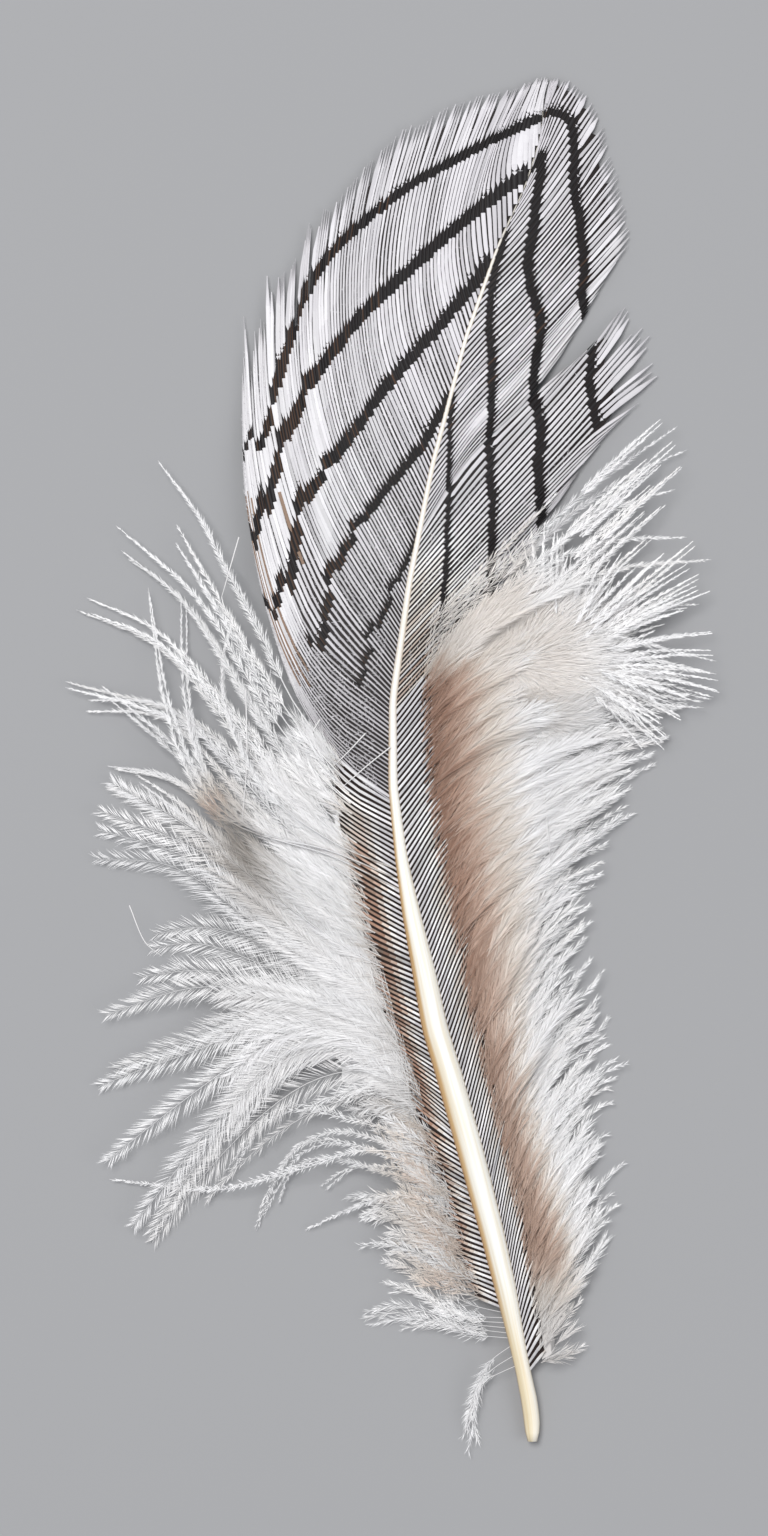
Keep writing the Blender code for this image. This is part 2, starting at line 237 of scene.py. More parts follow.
LEFT_HAIRS = (
    ((-6.2, 3.9), (-7.7, 1.4), (-8.9, -0.7)),
    ((-2.2, 2.7), (-3.4, 1.4), (-4.9, -0.1)),
    ((0.0, 1.5), (-2.0, -0.1), (-4.2, -2.0)),
    ((-12.7, 6.5), (-12.6, 0.4), (-13.0, -5.1)),
    ((-13.3, 19.9), (-14.1, 17.1), (-14.9, 14.3)),
    ((-22.9, -12.4), (-21.6, -15.5), (-20.1, -16.8)))
RIGHT_HAIRS = (
    ((6.7, -15.5), (7.8, -12.7), (8.6, -10.0)),
    ((12.9, 2.1), (13.6, -3.6), (14.1, -9.3)),
    ((11.0, -19.5), (10.9, -24.3), (11.1, -28.7)))


# ---------------------------------------------------------------- curves and the shaft line


def smooth_path(points, count):
    """Evenly spaced points on a smooth curve through the given ones."""
    given = np.array(points, float)
    padded = np.vstack([2 * given[0] - given[1], given, 2 * given[-1] - given[-2]])
    steps = np.linspace(0, len(given) - 1, 96)
    low = np.minimum(steps.astype(int), len(given) - 2)
    f = (steps - low)[:, None]
    a, b, c, d = (padded[low + k] for k in range(4))
    fine = 0.5 * (2 * b + (c - a) * f + (2 * a - 5 * b + 4 * c - d) * f**2
                  + (3 * b - a - 3 * c + d) * f**3)
    run = np.append(0, np.cumsum(np.linalg.norm(np.diff(fine, axis=0), axis=1)))
    even = np.linspace(0, run[-1], count)
    return np.column_stack([np.interp(even, run, fine[:, k]) for k in range(given.shape[1])])


def unit(vectors):
    """The same directions, one long."""
    return vectors / np.maximum(np.linalg.norm(vectors, axis=-1, keepdims=True), 1e-9)


def ease(values, start, end):
    """0 before start, 1 after end, and smooth between them."""
    t = np.clip((np.asarray(values, float) - start) / (end - start), 0, 1)
    return t * t * (3 - 2 * t)


def mix(a, b, share):
    """The value that lies the given share of the way from a to b."""
    return a + (b - a) * share


def read_shaft():
    """Middle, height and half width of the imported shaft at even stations, in millimetres."""
    solid = bmesh.new()
    solid.from_mesh(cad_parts["shaft"].data)
    bmesh.ops.remove_doubles(solid, verts=solid.verts, dist=0.01 * MM)
    low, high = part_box("shaft")
    rows = []
    for y in np.linspace(low.y + 0.05 * MM, high.y - 0.05 * MM, 97):
        slab = solid.copy()
        parts = [*slab.verts, *slab.edges, *slab.faces]
        cut = bmesh.ops.bisect_plane(slab, geom=parts, plane_co=(0, y, 0), plane_no=(0, 1, 0))
        ring = np.array([v.co[:] for v in cut["geom_cut"] if isinstance(v, bmesh.types.BMVert)])
        slab.free()
        near, far = (ring.min(0) - MIDDLE) / MM, (ring.max(0) - MIDDLE) / MM
        rows.append(((y - MIDDLE[1]) / MM, (near[0] + far[0]) / 2, (near[2] + far[2]) / 2,
                     (far[0] - near[0]) / 2))
    solid.free()
    return np.array(rows)


SHAFT = read_shaft()


def shaft_middle(y):
    return np.interp(y, SHAFT[:, 0], SHAFT[:, 1])


def shaft_height(y):
    return np.interp(y, SHAFT[:, 0], SHAFT[:, 2])


def shaft_half_width(y):
    return np.interp(y, SHAFT[:, 0], SHAFT[:, 3])


# ---------------------------------------------------------------- meshes from many fibres


class Fibres:
    """Corners, triangles, tints and shades of the fibres of one piece, in millimetres."""

    def __init__(self):
        self.parts = [[], [], [], [], []]
        self.count = 0

    def add(self, corners, triangles, tints, shades, smooth=True):
        """Adds triangles, given by the places of their corners in the list of corners."""
        triangles = triangles.reshape(-1, 3) + self.count
        rows = (corners.reshape(-1, 3), triangles, np.ravel(tints), np.ravel(shades),
                np.full(len(triangles), smooth))
        for part, row in zip(self.parts, rows):
            part.append(row)
        self.count += corners.size // 3

    def add_each(self, corners, pattern, tints, shades, smooth=True):
        """Adds many like fibres: the corners of one fibre a row, and the triangles of one."""
        starts = np.arange(len(corners)) * (corners[0].size // 3)
        self.add(corners, np.array(pattern)[None] + starts[:, None, None], tints, shades, smooth)

    def build(self, name, material):
        """One mesh object, with its tints laid out on its own map."""
        corners, triangles, tints, shades, smooth = (np.concatenate(part) for part in self.parts)
        ceiling = CAD_DEPTH - SOFT_TOP
        high = np.maximum(corners[:, 2] - ceiling, 0)
        corners[:, 2] = np.minimum(corners[:, 2], ceiling) + SOFT_TOP * high / (SOFT_TOP + high)
        corners[:, 2] = np.maximum(corners[:, 2], 0.02)
        mesh = bpy.data.meshes.new(name)
        mesh.vertices.add(len(corners))
        mesh.vertices.foreach_set("co", (MIDDLE + corners * MM).astype(np.float32).ravel())
        mesh.loops.add(triangles.size)
        mesh.loops.foreach_set("vertex_index", triangles.astype(np.int32).ravel())
        mesh.polygons.add(len(triangles))
        mesh.polygons.foreach_set("loop_start", np.arange(0, triangles.size, 3, dtype=np.int32))
        mesh.polygons.foreach_set("use_smooth", smooth)
        spot = np.stack([np.clip(tints, 0.02, 0.98), np.clip(shades, 0.02, 0.98)], axis=1)
        spread = np.array([(-0.006, -0.006), (0.006, -0.006), (0.0, 0.006)])
        tint_map = mesh.uv_layers.new(name="OFBake")
        tint_map.data.foreach_set("uv", (spot[:, None] + spread).astype(np.float32).ravel())
        mesh.update(calc_edges=True)
        mesh.validate()
        return place_piece(name, mesh, material)


def take_apart(shape):
    """Corners and triangles of a shape, which is freed."""
    corners = np.array([v.co[:] for v in shape.verts])
    triangles = np.array([[v.index for v in face.verts] for face in shape.faces])
    shape.free()
    return corners, triangles


def place_piece(name, mesh, material):
    """One object of the scene with its finish."""
    mesh.materials.append(material)
    piece = bpy.data.objects.new(name, mesh)
    bpy.context.scene.collection.objects.link(piece)
    return piece


def hang(piece, node):
    """Puts a finished piece in the place of its plain solid."""
    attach(piece, "root")
    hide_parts(node)


def sideways(along):
    """The flat direction across each direction along a fibre."""
    return unit(np.cross(along, (0.0, 0.0, 1.0)))


def lengths(lines):
    """How long each line is."""
    return np.linalg.norm(np.diff(lines, axis=1), axis=2).sum(axis=1)


def spacing(lines):
    """Distance from each line to the next one beside it, at each of its points."""
    flat = lines[:, :, :2]
    along = unit(np.gradient(flat, axis=1))
    step = np.diff(flat, axis=0)
    gaps = np.abs(step[..., 0] * along[:-1, :, 1] - step[..., 1] * along[:-1, :, 0])
    return np.clip(np.vstack([gaps, gaps[-1:]]), 0.16, 0.75)


def add_strands(fibres, lines, thickness, tints, shades):
    """Round tapering strands with three sides."""
    along = unit(np.gradient(lines, axis=1))
    across = sideways(along)
    upward = np.cross(across, along)
    rings = []
    for turn in (90, 210, 330):
        a = math.radians(turn)
        rings.append(lines + thickness[..., None] * (math.cos(a) * across + math.sin(a) * upward))
    pattern = []
    for ring in range(lines.shape[1] - 1):
        for side in range(3):
            a, b = ring * 3 + side, ring * 3 + (side + 1) % 3
            pattern += [(a, b, a + 3), (b, b + 3, a + 3)]
    tints = (tints[:, 1:] + tints[:, :-1]) / 2
    fibres.add_each(np.stack(rings, axis=2), pattern, np.repeat(tints, 6, axis=1),
                    np.repeat(shades[:, 1:], 6, axis=1))


def add_flat_barbs(fibres, spots, across, half, ridge, tints, shades):
    """Barbs of a vane: a ridge with a slope on each side. Four tints lead from a ring to the
    next: for the left and the right slope, the half that narrows and the half that widens."""
    sides = across * half[..., None]
    corners = np.stack([spots - sides, spots + (0, 0, ridge), spots + sides], axis=2)
    pattern = []
    for a in range(0, 3 * (spots.shape[1] - 1), 3):
        pattern += [(a, a + 1, a + 3), (a + 1, a + 4, a + 3),
                    (a + 1, a + 2, a + 5), (a + 1, a + 5, a + 4)]
    fibres.add_each(corners, pattern, tints, shades)


def add_barbules(fibres, base, direction, reach, width, tints, shades, rng, tilt=0.5):
    """Slim pointed barbules, each bent once at its middle; tilt is how far they turn from flat."""
    count = len(base)
    stray = rng.normal(0, 0.10, (count, 3))
    middle = base + direction * (reach * 0.5)[:, None]
    tip = middle + unit(direction + stray) * (reach * 0.5)[:, None]
    flat = unit(np.cross(direction, np.array([0, 0, 1.0]) + rng.normal(0, tilt, (count, 3))))
    half = flat * (width / 2)[:, None]
    corners = np.stack([base, middle + half, middle - half, tip], axis=1)
    fibres.add_each(corners, [(0, 1, 2), (2, 1, 3)], np.repeat(tints, 2), np.repeat(shades, 2), False)


def along_strands(lines, share, owner):
    """Places and directions at the given shares of the given strands."""
    steps = lines.shape[1] - 1
    at = np.clip(share, 0, 0.9999) * steps
    low = at.astype(int)
    f = (at - low)[:, None]
    a, b = lines[owner, low], lines[owner, low + 1]
    return a + (b - a) * f, unit(b - a)


def pick_strands(rng, weight, number):
    """Owners of the given number of barbules: the heavier a strand, the more of them."""
    return rng.choice(len(weight), number, p=weight / weight.sum())


def turn_away(way, out, angle):
    """Directions turned by an angle from each way towards out."""
    return way * np.cos(angle)[:, None] + out * np.sin(angle)[:, None]


def cut_lines(lines, start, end, steps):
    """The stretch of each line between two shares of its length."""
    count = len(lines)
    share = mix(np.reshape(start, (-1, 1)), np.reshape(end, (-1, 1)), np.linspace(0, 1, steps))
    share = np.broadcast_to(share, (count, steps))
    spots, _ = along_strands(lines, share.ravel(), np.repeat(np.arange(count), steps))
    return spots.reshape(count, steps, lines.shape[2])


def root_spots(y, side):
    """Where barbs leave the flank of the shaft at the given heights."""
    return np.stack([shaft_middle(y) + side * 0.75 * shaft_half_width(y), y], axis=-1)


def guide_shapes(guides, side, steps):
    """Root heights and smooth flat lines of the guide barbs, lowest root first."""
    ordered = sorted(guides)
    heights = np.array([guide[0] for guide in ordered])
    shapes = [smooth_path([root_spots(y, side), *points], steps) for y, *points in ordered]
    return heights, np.array(shapes)


def comb_lines(guides, roots, side, steps):
    """Flat lines of barbs rooted at the given heights, shaped between the guide barbs."""
    heights, shapes = guide_shapes(guides, side, steps)
    lines = np.empty((len(roots), steps, 2))
    for step in range(steps):
        for axis in range(2):
            lines[:, step, axis] = np.interp(roots, heights, shapes[:, step, axis])
    fade = (1 - np.linspace(0, 1, steps))[None, :, None] ** 3
    return lines + (root_spots(roots, side) - lines[:, 0])[:, None, :] * fade


def gather(lines, sizes, start, pull, rng):
    """Draws neighbouring tips together into small locks."""
    count, steps = lines.shape[:2]
    marks = np.cumsum(rng.integers(sizes[0], sizes[1] + 1, count))
    lock = np.searchsorted(marks, np.arange(count), side="right")
    share = ease(np.linspace(0, 1, steps), start, 1.0)[None, :, None]
    for group in np.unique(lock):
        members = lock == group
        middle = lines[members].mean(axis=0, keepdims=True)
        drawn = share * pull[members].mean() * rng.uniform(0.4, 1.0)
        lines[members] = mix(lines[members], middle, drawn)
    return lines


def stretch_tips(lines, extra):
    """Makes each line longer or shorter at its tip by the given millimetres."""
    steps = lines.shape[1]
    way = unit(lines[:, -1] - lines[:, -3])
    share = np.linspace(0, 1, steps)[None, :, None] ** 4
    return lines + way[:, None, :] * extra[:, None, None] * share


def add_shade_film(fibres, lines, reach, side, drop, tint):
    """Thin near-black film that the barbs stand on: painted shade of the gaps between them. It stops
    short of the free tips.
    """
    rows, columns = lines.shape[0], 15
    shape = bmesh.new()
    bmesh.ops.create_grid(shape, x_segments=columns - 1, y_segments=rows - 1, size=0.5)
    bmesh.ops.triangulate(shape, faces=shape.faces)
    places, triangles = take_apart(shape)
    places += 0.5
    triangles = triangles[:, ::side]
    row = np.rint(places[:, 1] * (rows - 1)).astype(int)
    spots, _ = along_strands(lines, places[:, 0] * reach[row], row)
    spots[:, 2] -= drop
    shades = np.full(len(triangles), 0.5)
    fibres.add(spots, triangles, shades * 0 + tint, shades)
    fibres.add(spots - (0, 0, 0.04), triangles[:, ::-1], shades * 0 + tint, shades)


# ---------------------------------------------------------------- vanes


def crossing(line, bar):
    """Share of the line's length at which it meets the bar, and the sine of their angle."""
    p, r = line[:-1, None], np.diff(line, axis=0)[:, None]
    q, s = bar[None, :-1], np.diff(bar, axis=0)[None]
    down = r[..., 0] * s[..., 1] - r[..., 1] * s[..., 0]
    down = np.where(np.abs(down) < 1e-9, 1e-9, down)
    gap = q - p
    t = (gap[..., 0] * s[..., 1] - gap[..., 1] * s[..., 0]) / down
    u = (gap[..., 0] * r[..., 1] - gap[..., 1] * r[..., 0]) / down
    hit = np.argwhere((t >= 0) & (t < 1) & (u >= 0) & (u <= 1))
    if not len(hit):
        return math.nan, 1.0
    row = tuple(hit[0])
    sizes = np.linalg.norm(r[row[0], 0]) * np.linalg.norm(s[0, row[1]])
    return (row[0] + t[row]) / (len(line) - 1), abs(down[row]) / sizes


def closed_patch(x, y, side):
    """1 where the barbs lie shut edge to edge: streaks, the outer left part, and the crest."""
    if side < 0:
        outer = ease(-x, 7.2, 9.4) * ease(44 - y, 0, 6)
        seam = np.interp(y, (12, 18, 28, 36, 43), (-4.6, -5.6, -6.5, -6.9, -5.4))
        seam = np.exp(-((x - seam) / 0.7) ** 2) * ease(y, 12, 20) * ease(44 - y, 0, 3)
        crest = ease(y, 49, 52) * ease(2.6 - np.abs(x - shaft_middle(y)), 0, 1.4)
        return np.maximum(np.maximum(outer, seam), 0.8 * crest)
    streak = np.exp(-((x - (0.565 * (y - 33) + 13.2)) / 1.1) ** 2) * ease(y, 29, 33)
    lower = np.exp(-((x - (y - 22.5)) / 0.7) ** 2) * ease(y, 28, 31) * ease(38 - y, 0, 3)
    return np.maximum(streak, lower)


def vane_cover(x, y, side):
    """How much of its own space a barb fills, from thin lines by the shaft to a closed vane."""
    away = np.abs(x - shaft_middle(y))
    if side < 0:
        fill = mix(0.36, 0.76, ease(y + 1.1 * away, 2, 46))
    else:
        fill = mix(0.50, 0.62, ease(y, 10, 30))
    return mix(fill, 1.0, closed_patch(x, y, side))


def vane_tint(x, y, side, rng):
    """Pearl barbs, whiter where they are shut, warmer beside the lower shaft and along the
    outer lower edge."""
    away = np.abs(x - shaft_middle(y))
    stray = rng.normal(0, 1, (len(x), 1))
    tint = mix(PEARL, 0.90, 0.4 * ease(away, 1, 9) + 0.6 * closed_patch(x, y, side))
    tint = tint + 0.008 * rng.normal(0, 1, x.shape)
    if side > 0:
        warm = ease(24 - y, 0, 14) * ease(9.5 - away, 0, 7)
        return mix(tint, BLUSH, warm * np.clip(0.75 + 0.25 * stray, 0, 1))
    edge = ease(-x, 6.0, 9.0) * ease(27 - y, 0, 8) * (stray > 0.7)
    return np.where(edge > 0.5, AMBER + 0.04 * stray, tint)


def bar_spans(lines, length, bars, tooth, slip, rng):
    """For each bar, the shares where each barb turns black, turns white, and is fully white.
    slip shifts the bars of each barb along it, where the vane is split."""
    count = len(lines)
    wander = np.cumsum(rng.normal(0, 0.035, (len(bars), count)), axis=1)
    wander -= wander.mean(axis=1, keepdims=True)
    spans = []
    for k, (thick, *points) in enumerate(bars):
        bar = smooth_path(points, 60)
        meets = np.array([crossing(line[:, :2], bar) for line in lines])
        deep = np.minimum(thick / np.maximum(meets[:, 1], 0.25), 2.6)
        deep = deep * rng.uniform(0.88, 1.12, count)
        stray = rng.normal(0, 0.05, count) + np.clip(wander[k], -0.25, 0.25)
        shift = meets[:, 0] + (slip + stray) / length
        first = shift - (deep / 2 + rng.normal(0, 0.04, count)) / length
        last = shift + (deep / 2 + rng.normal(0, 0.06, count)) / length
        point = last + tooth * rng.uniform(0.7, 1.3, count) / length
        spans.append(np.stack([first, last, point], axis=1))
    return spans


def vane_roots(top, low, side, step):
    """Root heights from the top down: the higher on the shaft, the wider apart."""
    wide = ((-3, 15, 22, 30, 40, 49), (0.85, 1.0, 1.12, 1.36, 1.46, 2.3))
    if side > 0:
        wide = ((4, 12, 20, 28, 58), (1.0, 1.1, 1.35, 1.7, 1.85))
    roots = [top]
    while roots[-1] > low + 0.2:
        roots.append(roots[-1] - step * float(np.interp(roots[-1], *wide)))
    return np.array(roots) + np.linspace(0, low - roots[-1], len(roots))


def make_vane(name, node, guides, bars, side, sizes, ragged, barbules, material, seed):
    """One part of the vane: barbs with their bars, the near-black film under them that paints shade
    into the gaps, and short barbules.
    ragged tells how uneven the edge is at a root's height, and barbules how full the gaps are."""
    rng = np.random.default_rng(seed)
    heights = [guide[0] for guide in guides]
    roots = vane_roots(max(heights), min(heights), side, sizes.barb_spacing)
    count = len(roots)
    lines = comb_lines(guides, roots, side, VANE_POINTS)
    bunch = np.repeat(rng.normal(0, 1, count // 4 + 1), 4)[:count]
    lines = stretch_tips(lines, (0.7 * bunch + rng.normal(0, 0.6, count)) * ragged(roots))
    lines = gather(lines, (1, 5), 0.7, 0.35 + 0.5 * ease(ragged(roots), 0.5, 1.2), rng)
    share = np.linspace(0, 1, VANE_POINTS)[None]
    start = (shaft_height(roots) + 0.2 * shaft_half_width(roots))[:, None]
    height = mix(start, 0.42, share**1.6) + rng.uniform(0, 0.12, count)[:, None] * share
    lines = np.dstack([lines, height])
    length = lengths(lines)
    gaps = spacing(lines)

    # Rings of each barb: even ones, and three at each bar, where white turns black, where it
    # starts again in a point, and where it is at its full width once more.
    slip = 0.7 * bunch * ease(ragged(roots), 0.6, 1.6)
    spans = bar_spans(lines, length, bars, sizes.tooth_length, slip, rng)
    marks = [np.tile(np.linspace(0, 1, 17), (count, 1))]
    for span in spans:
        marks.append(np.where(np.isnan(span), rng.uniform(0.05, 0.95, (count, 3)), span))
    marks = np.sort(np.clip(np.hstack(marks), 0, 1), axis=1)
    rings = marks.shape[1]
    owner = np.repeat(np.arange(count), rings)
    spots, ways = along_strands(lines, marks.ravel(), owner)
    wide, _ = along_strands(np.dstack([gaps, gaps, gaps]), marks.ravel(), owner)
    spots, ways = spots.reshape(count, rings, 3), ways.reshape(count, rings, 3)
    across = sideways(ways)
    half = 0.5 * wide[:, 0].reshape(count, rings) * vane_cover(spots[..., 0], spots[..., 1], side)
    slow = np.repeat(np.repeat(rng.normal(0, 1, (count // 3 + 1, rings // 6 + 1)), 3, 0), 6, 1)
    slow = slow[:count, :rings] + rng.normal(0, 0.5, (count, 1))
    half = half * (1 + 0.10 * slow)
    half = np.maximum(half, 0.055) * (1 - 0.8 * ease(marks, 0.955, 1.0))

    between = (marks[:, 1:] + marks[:, :-1]) / 2
    black, tooth = np.zeros(between.shape, bool), np.zeros(between.shape, bool)
    for span in spans:
        first, last, point = (span[:, k:k + 1] for k in range(3))
        black |= (between > first) & (between < last)
        tooth |= (between > last) & (between < point)
    middle = (spots[:, 1:] + spots[:, :-1]) / 2
    pale = vane_tint(middle[..., 0], middle[..., 1], side, rng)
    narrows = np.tile(np.array([True, False, True, False]), (count, rings - 1))
    black, tooth, pale = (np.repeat(v, 4, axis=1) for v in (black, tooth, pale))
    # Some barbs keep a brown edge where they cross a bar.
    brown = mix(0.05, 0.6, ease(-middle[..., 0], -1, 8)) > rng.random((count, 1))
    edged = np.repeat(brown, 4, axis=1) & np.tile([False, False, True, True], (1, rings - 1))
    dark = np.where(edged, mix(UMBER, AMBER, 0.15), BLACK)
    tints = np.where(black | (tooth & narrows), dark, pale)
    dim = 0.5 * ease(26 - middle[..., 1], 0, 22) * ease(10 + middle[..., 0], 0, 5)
    light = np.repeat(0.66 - dim, 4, axis=1) + rng.normal(0, 0.2, count)[:, None]
    shades = np.clip(light, 0.02, 0.98)
    fibres = Fibres()
    add_flat_barbs(fibres, spots, across, half, sizes.ridge_height, tints, shades)
    reach = 0.95 - 0.05 * rng.random(count) - 0.12 * ease(ragged(roots), 0.4, 1.0)
    # The film is near black: painted shade of the gaps between the barbs.
    add_shade_film(fibres, lines, reach, side, sizes.film_drop, 0.05)

    # Short barbules that cross the gaps, where the vane is closed but not smooth.
    tufted = int(sizes.vane_barbules * length.sum())
    owner = pick_strands(rng, length, tufted)
    at = rng.uniform(0.04, 0.93, tufted)
    base, way = along_strands(lines, at, owner)
    hand = rng.choice((-1.0, 1.0), tufted)
    lean = np.radians(rng.uniform(28, 50, tufted))
    direction = turn_away(way, sideways(way) * hand[:, None], lean)
    in_bar = np.zeros(tufted, bool)
    for span in spans:
        in_bar |= (at > span[owner, 0] - 0.01) & (at < span[owner, 2])
    keep = (rng.random(tufted) < barbules(base[:, 0], base[:, 1])) & ~in_bar
    size = int(keep.sum())
    add_barbules(fibres, base[keep] + (0, 0, 0.02), direction[keep], rng.uniform(0.2, 0.42, size),
                 rng.uniform(0.03, 0.05, size), rng.normal(PEARL - 0.02, 0.015, size),
                 rng.uniform(0.1, 0.7, size), rng)
    hang(fibres.build(name, material), node)


# ---------------------------------------------------------------- down


# How a lock of down is laid. Shares are of a barb's length, reaches and heights millimetres,
# densities barbules on a millimetre of barb, and angles degrees from the barb.
LOCK = {
    "layers": 3.0, "every": 2, "scatter": 0.35, "ragged": 0.7, "part": 0.35, "pull": 0.75,
    "crown": 2.4, "tip": 1.8, "film": True, "comb": 1.1, "pad": None, "light": (0.62, 1.0),
    "tilt": 0.2, "density": 12, "angles": (26, 12), "reach": (1.6, 1.4, 0.45), "even": 0.65,
    "roll": 0.4, "loose": 6, "width": 1.0, "thickness": 1.0, "least_tint": 0.0,
    "fill_end": (0.35, 0.8), "fill_density": 20, "fill_angles": (15, 14),
    "fill_reach": (2.4, 2.6, 1.6)}


def band_width(y, side):
    """How far the bare combed stretch reaches from the middle of the shaft."""
    if side < 0:
        return np.interp(y, (-50, -42, -30, -15, -4), (2.2, 2.8, 3.3, 3.9, 4.3))
    return np.interp(y, (-53, -45, -30, -16, 6), (1.9, 2.7, 3.3, 3.5, 2.5))


def band_share(lines, side):
    """Share of each line's length at which it leaves the bare stretch."""
    away = np.abs(lines[..., 0] - shaft_middle(lines[..., 1]))
    wide = band_width(lines[:, 0, 1], side)
    first = np.maximum((away > wide[:, None]).argmax(axis=1), 1)
    rows = np.arange(len(lines))
    before, after = away[rows, first - 1], away[rows, first]
    part = np.clip((wide - before) / np.maximum(after - before, 0.01), 0, 1)
    return (first - 1 + part) / (lines.shape[1] - 1)


def left_hollow_shade(x, y):
    """Mask of the furrow in the left down, where shade is painted, 1 along its middle."""
    along = 0.5 * (x + 12.8) - 0.866 * (y + 7.6)
    across = 0.866 * (x + 12.8) + 0.5 * (y + 7.6)
    return np.exp(-((along / 5.6) ** 2 + (across / 1.9) ** 2))


def down_tint(x, y, vary):
    """Rose, then cream, then white from the shaft outwards on the right; mostly white on the left,
    where the furrow is painted shade in greyer cream, with a tan spot of painted shade in the gap at
    its upper end. vary is a number near 0 for each barb, so that neighbours differ a little."""
    away = x - shaft_middle(y)
    low = ease(-y, 11, 30)
    fur = mix(mix(ROSE, BLUSH, 0.6 * low), CREAM, ease(away, 3.2, mix(8.0, 6.4, low)))
    fur = mix(fur, WHITE, ease(away, mix(7.0, 4.4, low), mix(11.5, 7.2, low)))
    fur = mix(fur, WHITE, 0.8 * ease(-y, 43, 50))
    puff = np.exp(-(((x - 12.8) / 5.5) ** 2 + ((y - 8.5) / 6.0) ** 2))
    fur = np.maximum(fur, mix(fur, CREAM + 0.06, np.maximum(puff, ease(y, 5.5, 9.5))))
    # Painted shade: cream in the furrow, which its shades also darken, and tan in the gap at its upper
    # end.
    pale = mix(WHITE, CREAM, left_hollow_shade(x, y))
    pale = mix(pale, TAN, 0.45 * np.exp(-(((x + 15.4) / 1.6) ** 2 + ((y + 3.6) / 1.8) ** 2)))
    inner = ease(5.0 + away, 0, 1.2) * ease(y, -34, -4)
    pale = mix(pale, BLUSH, inner * 0.5)
    tuft = ease(-y, 27, 34) * ease(11 + away, 0, 6) * ease(48 + y, 0, 2)
    pale = mix(pale, BLUSH + 0.04, tuft * ease(vary, -0.5, 0.7))
    tint = np.where(away > 0, fur, pale)
    return np.clip(tint + 0.02 * vary, 0, WHITE + 0.02)


def painted_down_light(x, y):
    """Painted shade on the down, as a brightness: dim in the dip of the left down and close to the
    shaft.
    """
    away = np.abs(x - shaft_middle(y))
    return (1 - 0.95 * left_hollow_shade(x, y)) * mix(0.6, 1.0, ease(away, 2.6, 5.5))


def lift_lines(flat, roots, crown, tip, rng, wave=0.0):
    """Gives flat lines their heights: from the shaft over a crown and down to the tip."""
    count, steps = flat.shape[:2]
    share = np.linspace(0, 1, steps)[None]
    start = (shaft_height(roots) + 0.1 * shaft_half_width(roots))[:, None]
    arch = np.sin(np.pi * np.minimum(share * 1.15, 1.0)) ** 1.2
    height = mix(start, np.reshape(tip, (-1, 1)), share**1.3) + np.reshape(crown, (-1, 1)) * arch
    height += wave * np.sin(share * 9 + rng.uniform(0, 6, count)[:, None]) * share
    return np.dstack([flat, height])


def scatter(lines, spread, start, rng):
    """Shifts each line smoothly to one side, none before the given share."""
    count, steps = lines.shape[:2]
    share = np.linspace(0, 1, steps)[None, :, None]
    free = ease(share, start, 1.0)
    shift = rng.normal(0, spread, (count, 1, 2)) * free
    bend = rng.normal(0, spread * 0.7, (count, 1, 2)) * np.sin(np.pi * share) * ease(share, start, 0.6)
    return lines + shift + bend


def attract(lines, roots, guides, side, start, pull, rng):
    """Draws the tips towards the nearest guide barb, so that plumes form with gaps between."""
    heights, shapes = guide_shapes(guides, side, lines.shape[1])
    step = np.median(np.diff(heights))
    chosen = np.abs(roots[:, None] + rng.normal(0, 0.25 * step, (len(roots), 1)) - heights).argmin(1)
    share = ease(np.linspace(0, 1, lines.shape[1]), start, 0.95)[None, :, None]
    return mix(lines, shapes[chosen], share * pull * rng.uniform(0.5, 1.0, (len(roots), 1, 1)))


def dress(fibres, lines, sizes, plan, start, rng):
    """Barb shafts with their barbules; plan says how the barbules change along a barb."""
    count, steps = lines.shape[:2]
    share = np.linspace(0, 1, steps)[None]
    length = lengths(lines)
    vary = rng.normal(0, 0.6, (count, 1))
    least = plan["least_tint"]
    tints = np.maximum(down_tint(lines[..., 0], lines[..., 1], vary), least)
    low, high = plan["light"]
    order = lines[:, 0, 1]
    knots = np.arange(order.min() - 2, order.max() + 2, 1.1)
    own = np.interp(order, knots, rng.uniform(low, high, len(knots)))
    own = mix(own, rng.uniform(low, high, count), 0.5)
    # Each barb's own random tone, times the painted shade of the dip of the left down and beside the
    # shaft.
    shades = np.broadcast_to(own[:, None] * painted_down_light(lines[..., 0], lines[..., 1]), tints.shape)
    thick = sizes.barb_thickness / 2 * (1 - 0.7 * share**1.5) * np.ones((count, 1))
    add_strands(fibres, lines, thick * plan["thickness"], tints, shades)

    weight = length * (1 - start)
    wanted = int(plan["density"] * weight.sum())
    owner = pick_strands(rng, weight, wanted)
    at = start[owner] + (0.985 - start[owner]) * rng.random(wanted)
    base, way = along_strands(lines, at, owner)
    hand = np.where(rng.random(wanted) < 0.5, -1.0, 1.0)
    flat = sideways(way)
    upward = np.cross(flat, way)
    near, far = plan["angles"]
    lean = np.radians(mix(near, far, ease(at, 0.45, 1.0)) + rng.normal(0, plan["loose"], wanted))
    roll = rng.normal(0, plan["roll"], wanted)
    out = flat * (hand * np.cos(roll))[:, None] + upward * np.sin(roll)[:, None]
    direction = turn_away(way, out, lean)
    first, middle, last = plan["reach"]
    reach = np.interp(at, (0, 0.35, 0.8, 1.0), (first, middle, mix(middle, last, 0.45), last))
    reach = reach * rng.uniform(plan["even"], 1.15, wanted)
    tints = np.maximum(down_tint(base[:, 0], base[:, 1], vary[owner, 0]), least)
    width = sizes.barbule_width * rng.uniform(0.7, 1.25, wanted) * plan["width"]
    # The barbules take the same painted shade.
    light = (own[owner] + rng.normal(0, 0.05, wanted)) * painted_down_light(base[:, 0], base[:, 1])
    add_barbules(fibres, base, direction, reach, width, tints, np.clip(light, 0.03, 0.97), rng,
                 plan["tilt"])


